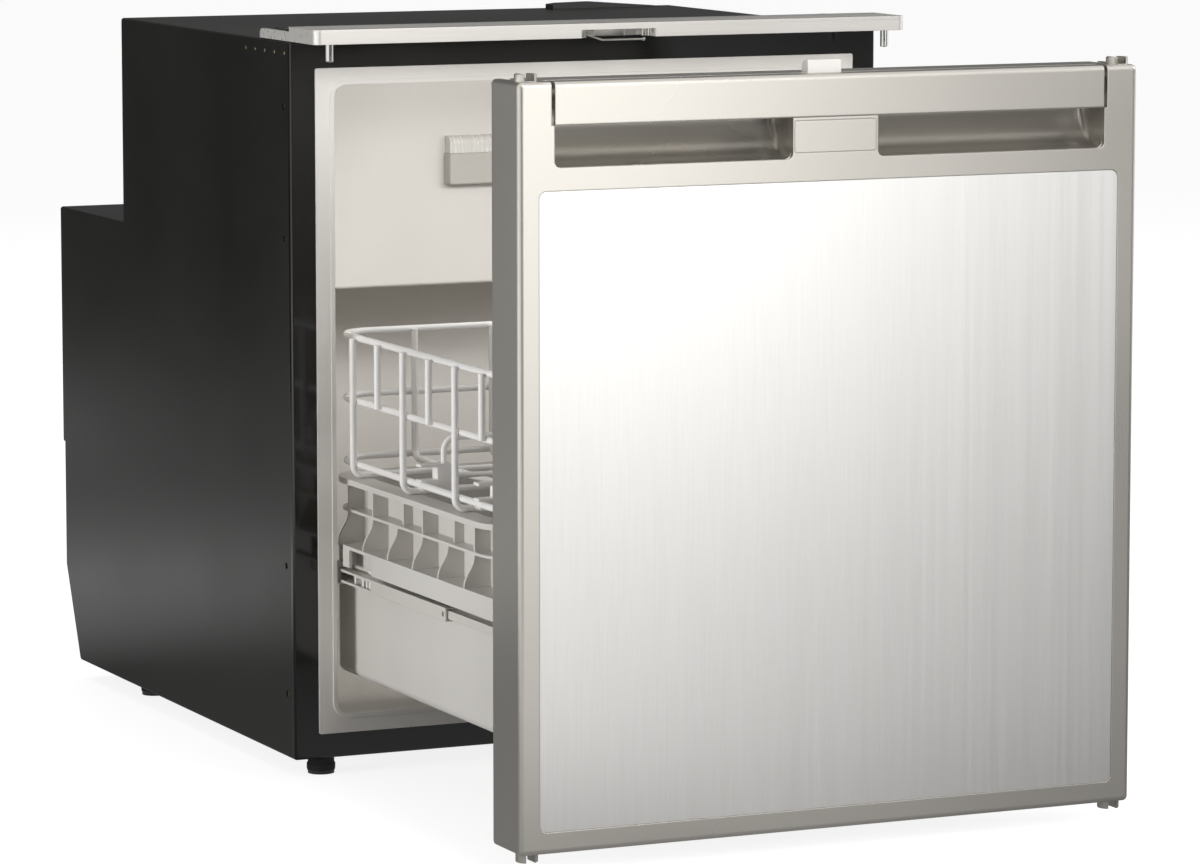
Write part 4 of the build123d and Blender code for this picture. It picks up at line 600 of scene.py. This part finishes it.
# %% Floor
FLOOR_HALF = 20.0
FLOOR_GREY = 0.35
FLOOR_LIFT = 0.85
WHITE = (1.0, 1.0, 1.0, 1.0)


def combine(tree, operation, first, second):
    """A math node of two values, each of them a socket or a plain number."""
    node = tree.nodes.new("ShaderNodeMath")
    node.operation = operation
    for socket, value in zip(node.inputs, (first, second)):
        if isinstance(value, float):
            socket.default_value = value
        else:
            tree.links.new(value, socket)
    return node.outputs[0]


def seen_rays(tree):
    """One for the rays that look at a thing, and nothing for the rays that light it."""
    path = tree.nodes.new("ShaderNodeLightPath").outputs
    eye_or_mirror = combine(tree, "MAXIMUM", path["Is Camera Ray"], path["Is Glossy Ray"])
    return combine(tree, "MAXIMUM", eye_or_mirror, path["Is Transmission Ray"])


def white_floor():
    """A grey floor that reads as white, with the object's shadow on it."""
    material = bpy.data.materials.new("white floor")
    material.use_nodes = True
    tree = material.node_tree
    shader = tree.nodes["Principled BSDF"]
    shader.inputs["Base Color"].default_value = (FLOOR_GREY, FLOOR_GREY, FLOOR_GREY, 1.0)
    shader.inputs["Roughness"].default_value = 1.0
    shader.inputs["Specular IOR Level"].default_value = 0.0
    shader.inputs["Emission Color"].default_value = WHITE
    glow = combine(tree, "MULTIPLY", seen_rays(tree), FLOOR_LIFT)
    tree.links.new(glow, shader.inputs["Emission Strength"])
    return material


def flat_sheet(name, x, y, z, material):
    """A flat rectangle of the stage, from three spans, one of which has no width."""
    if z[0] == z[1]:
        corners = [(x[0], y[0], z[0]), (x[1], y[0], z[0]), (x[1], y[1], z[0]), (x[0], y[1], z[0])]
    else:
        corners = [(x[0], y[0], z[0]), (x[1], y[1], z[0]), (x[1], y[1], z[1]), (x[0], y[0], z[1])]
    mesh = bpy.data.meshes.new(name)
    mesh.from_pydata(corners, [], [(0, 1, 2, 3)])
    mesh.materials.append(material)
    sheet = link(name, mesh)
    return sheet


FLOOR_SPAN = (-FLOOR_HALF, FLOOR_HALF)
flat_sheet("floor", FLOOR_SPAN, FLOOR_SPAN, (0.0, 0.0), white_floor())
print("floor", 2 * FLOOR_HALF, "m across")

# %% [markdown]
# ## Background
# The world does two jobs. To the eye and to metal it is plain white, as the photograph's
# paper is. To the object it is a weak even light that keeps shadows from going black. The
# same switch between kinds of ray keeps the two apart.

# %% World
AMBIENT = 0.3


def white_world():
    """Plain light for the object, and white for what the eye and the metal see."""
    world = bpy.data.worlds.new("studio")
    scene.world = world
    world.use_nodes = True
    tree = world.node_tree
    background = tree.nodes["Background"]
    background.inputs["Color"].default_value = WHITE
    strength = tree.nodes.new("ShaderNodeMapRange")
    strength.inputs["To Min"].default_value = AMBIENT
    strength.inputs["To Max"].default_value = 1.0
    tree.links.new(seen_rays(tree), strength.inputs["Value"])
    tree.links.new(strength.outputs["Result"], background.inputs["Strength"])


white_world()
scene.view_settings.view_transform = "Standard"
print("world", AMBIENT, "to the object, 1.0 to the eye")

# %% [markdown]
# ## Shading a card
# Metal and gloss show the room, so a photographer shapes them with cards: pale ones where
# the metal should shine and dark ones where it should fall off. Several plain cards would
# show their edges in the metal. So a card here shades from one brightness to the next,
# through stops that are written as a place in metres and a brightness there.

# %% Shades


def shade_along(tree, coordinate, stops):
    """Brightness from a coordinate in metres, through a list of (place, brightness)."""
    first, last = stops[0][0], stops[-1][0]
    most = max(brightness for place, brightness in stops)
    fit = tree.nodes.new("ShaderNodeMapRange")
    fit.inputs["From Min"].default_value = first
    fit.inputs["From Max"].default_value = last
    ramp = tree.nodes.new("ShaderNodeValToRGB")
    elements = ramp.color_ramp.elements
    while len(elements) < len(stops):
        elements.new(0.5)
    for element, (place, brightness) in zip(elements, stops):
        element.position = (place - first) / (last - first)
        level = brightness / most
        element.color = (level, level, level, 1.0)
    tree.links.new(coordinate, fit.inputs["Value"])
    tree.links.new(fit.outputs["Result"], ramp.inputs["Fac"])
    return combine(tree, "MULTIPLY", ramp.outputs["Color"], most)


def glow_material(name, sides):
    """A glow whose strength is the product of the shades along x, y and z."""
    material = bpy.data.materials.new(name)
    material.use_nodes = True
    tree = material.node_tree
    tree.nodes.clear()
    split = tree.nodes.new("ShaderNodeSeparateXYZ")
    tree.links.new(tree.nodes.new("ShaderNodeTexCoord").outputs["Object"], split.inputs[0])
    product = 1.0
    for coordinate, side in zip(split.outputs, sides):
        if isinstance(side, list):
            product = combine(tree, "MULTIPLY", product, shade_along(tree, coordinate, side))
    glow = tree.nodes.new("ShaderNodeEmission")
    output = tree.nodes.new("ShaderNodeOutputMaterial")
    tree.links.new(product, glow.inputs["Strength"])
    tree.links.new(glow.outputs[0], output.inputs["Surface"])
    return material


FRONT_ACROSS = [(-1.2, 0.05), (0.04, 0.05), (0.16, 1.12), (0.38, 1.06), (0.6, 0.66),
                (0.8, 0.26), (1.1, 0.12), (3.0, 0.12)]
brightest = max(FRONT_ACROSS, key=lambda stop: stop[1])
print("the front card is brightest", brightest[0], "m to the right of the middle")

# %% [markdown]
# ## Setting up a card
# A card is a flat sheet with that glow. The eye, the lamps and the object's shadow pass
# through it, so only reflections see it, and it can stand where it would be in the way.

# %% Card helper


def span(side):
    """Where a side starts and ends, from its stops, its two ends or its one place."""
    if isinstance(side, list):
        return side[0][0], side[-1][0]
    return side if isinstance(side, tuple) else (side, side)


def card(name, *sides):
    """A card from its x, y and z: stops to shade through, two ends, or one place."""
    sheet = flat_sheet(name, *[span(side) for side in sides], glow_material(name, sides))
    sheet.visible_camera = False
    sheet.visible_diffuse = False
    sheet.visible_transmission = False
    sheet.visible_shadow = False
    print(name, "reaches from", *[span(side) for side in sides])


print("the span of stops, of two ends and of one place:",
      span(FRONT_ACROSS), span((0.0, 3.0)), span(-1.0))

# %% [markdown]
# ## Cards
# The front of the drawer reflects what lies to the right of the camera, so a tall card
# there brightens its upper left and lets its right fall off, as in the photograph. The
# long black side reflects the left and the floor behind it, where two cards draw the pale
# band along its lower half. The top reflects the room behind, which stays dark. A card
# on the floor lies just over it, and the second one just over the first.

# %% Cards
FRONT_CARD_Y = -1.7
SIDE_CARD_X = -1.0
BACK_CARD_Y = 2.4
CARD_LIFT = 2 * MM

card("front card",
     FRONT_ACROSS,
     FRONT_CARD_Y,
     [(0.0, 1.05), (0.12, 1.48), (0.28, 1.85), (1.4, 1.85)])
card("front floor card",
     [(-1.2, 1.0), (0.0, 1.0), (0.26, 0.6), (0.6, 0.3), (1.0, 0.18), (3.0, 0.18)],
     [(FRONT_CARD_Y, 1.15), (-0.95, 0.75), (-0.65, 0.38), (-0.4, 0.28), (0.0, 0.45)],
     CARD_LIFT)
card("side card",
     SIDE_CARD_X,
     [(0.2, 0.42), (1.3, 0.4), (1.5, 0.02), (9.0, 0.02)],
     (0.0, 3.0))
card("side floor card",
     [(SIDE_CARD_X, 0.1), (-0.85, 0.35), (-0.74, 0.6), (-0.5, 1.0), (-0.2, 1.0)],
     [(-0.4, 0.2), (0.4, 0.14), (0.6, 0.5), (0.85, 0.75), (1.05, 0.45), (1.4, 0.3),
      (1.8, 0.6), (3.0, 0.6)],
     CARD_LIFT + MM)
card("back card",
     (-1.0, 4.5),
     BACK_CARD_Y,
     [(0.0, 0.1), (4.0, 0.1)])

# %% [markdown]
# ## Lamps
# Four soft lamps light the object. A large one before it and above, to the right of the
# camera, does most of the work. One low at the left lights the black side and the tub, a
# weak one from the right keeps that side from going dead, and one behind draws the edges.
# The last lamp is the fridge's own, a narrow strip inside the upper edge of the mouth. Lamps
# that would show as a patch in the gloss are hidden from reflections, because the cards do
# that work.

# %% Lamps
OBJECT_MIDDLE = (0.0, 0.0, 0.25)
STRIP_SIZE = (0.34, 0.05)
STRIP_INSET = 40 * MM
STRIP_DROP = 30 * MM
STRIP_AIM_INSET = 300 * MM
STRIP_AIM_DROP = 200 * MM
MOUTH_LOW, MOUTH_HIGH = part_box("liner")


def soft_lamp(name, place, aim, size, power, reflected):
    """A rectangular area lamp that looks at a point, with its power in watts."""
    data = bpy.data.lights.new(name, "AREA")
    data.shape = "RECTANGLE"
    data.size, data.size_y = size
    data.energy = power
    lamp = link(name, data)
    lamp.location = place
    lamp.rotation_euler = (Vector(place) - Vector(aim)).to_track_quat("Z", "Y").to_euler()
    lamp.visible_glossy = reflected
    print(name, "of", power, "W at", [round(value, 2) for value in place])


soft_lamp("key lamp", (0.3, -3.3, 1.7), OBJECT_MIDDLE, (1.6, 1.6), 80.0, True)
soft_lamp("left lamp", (-3.2, -0.4, 0.35), OBJECT_MIDDLE, (1.2, 0.7), 60.0, False)
soft_lamp("fill lamp", (2.6, -1.2, 1.6), OBJECT_MIDDLE, (1.4, 1.4), 18.0, True)
soft_lamp("back lamp", (0.4, 2.6, 2.2), OBJECT_MIDDLE, (1.8, 1.2), 30.0, False)
soft_lamp("cavity lamp", (0.0, MOUTH_LOW.y + STRIP_INSET, MOUTH_HIGH.z - STRIP_DROP),
          (0.0, MOUTH_LOW.y + STRIP_AIM_INSET, MOUTH_HIGH.z - STRIP_AIM_DROP),
          STRIP_SIZE, 0.35, False)
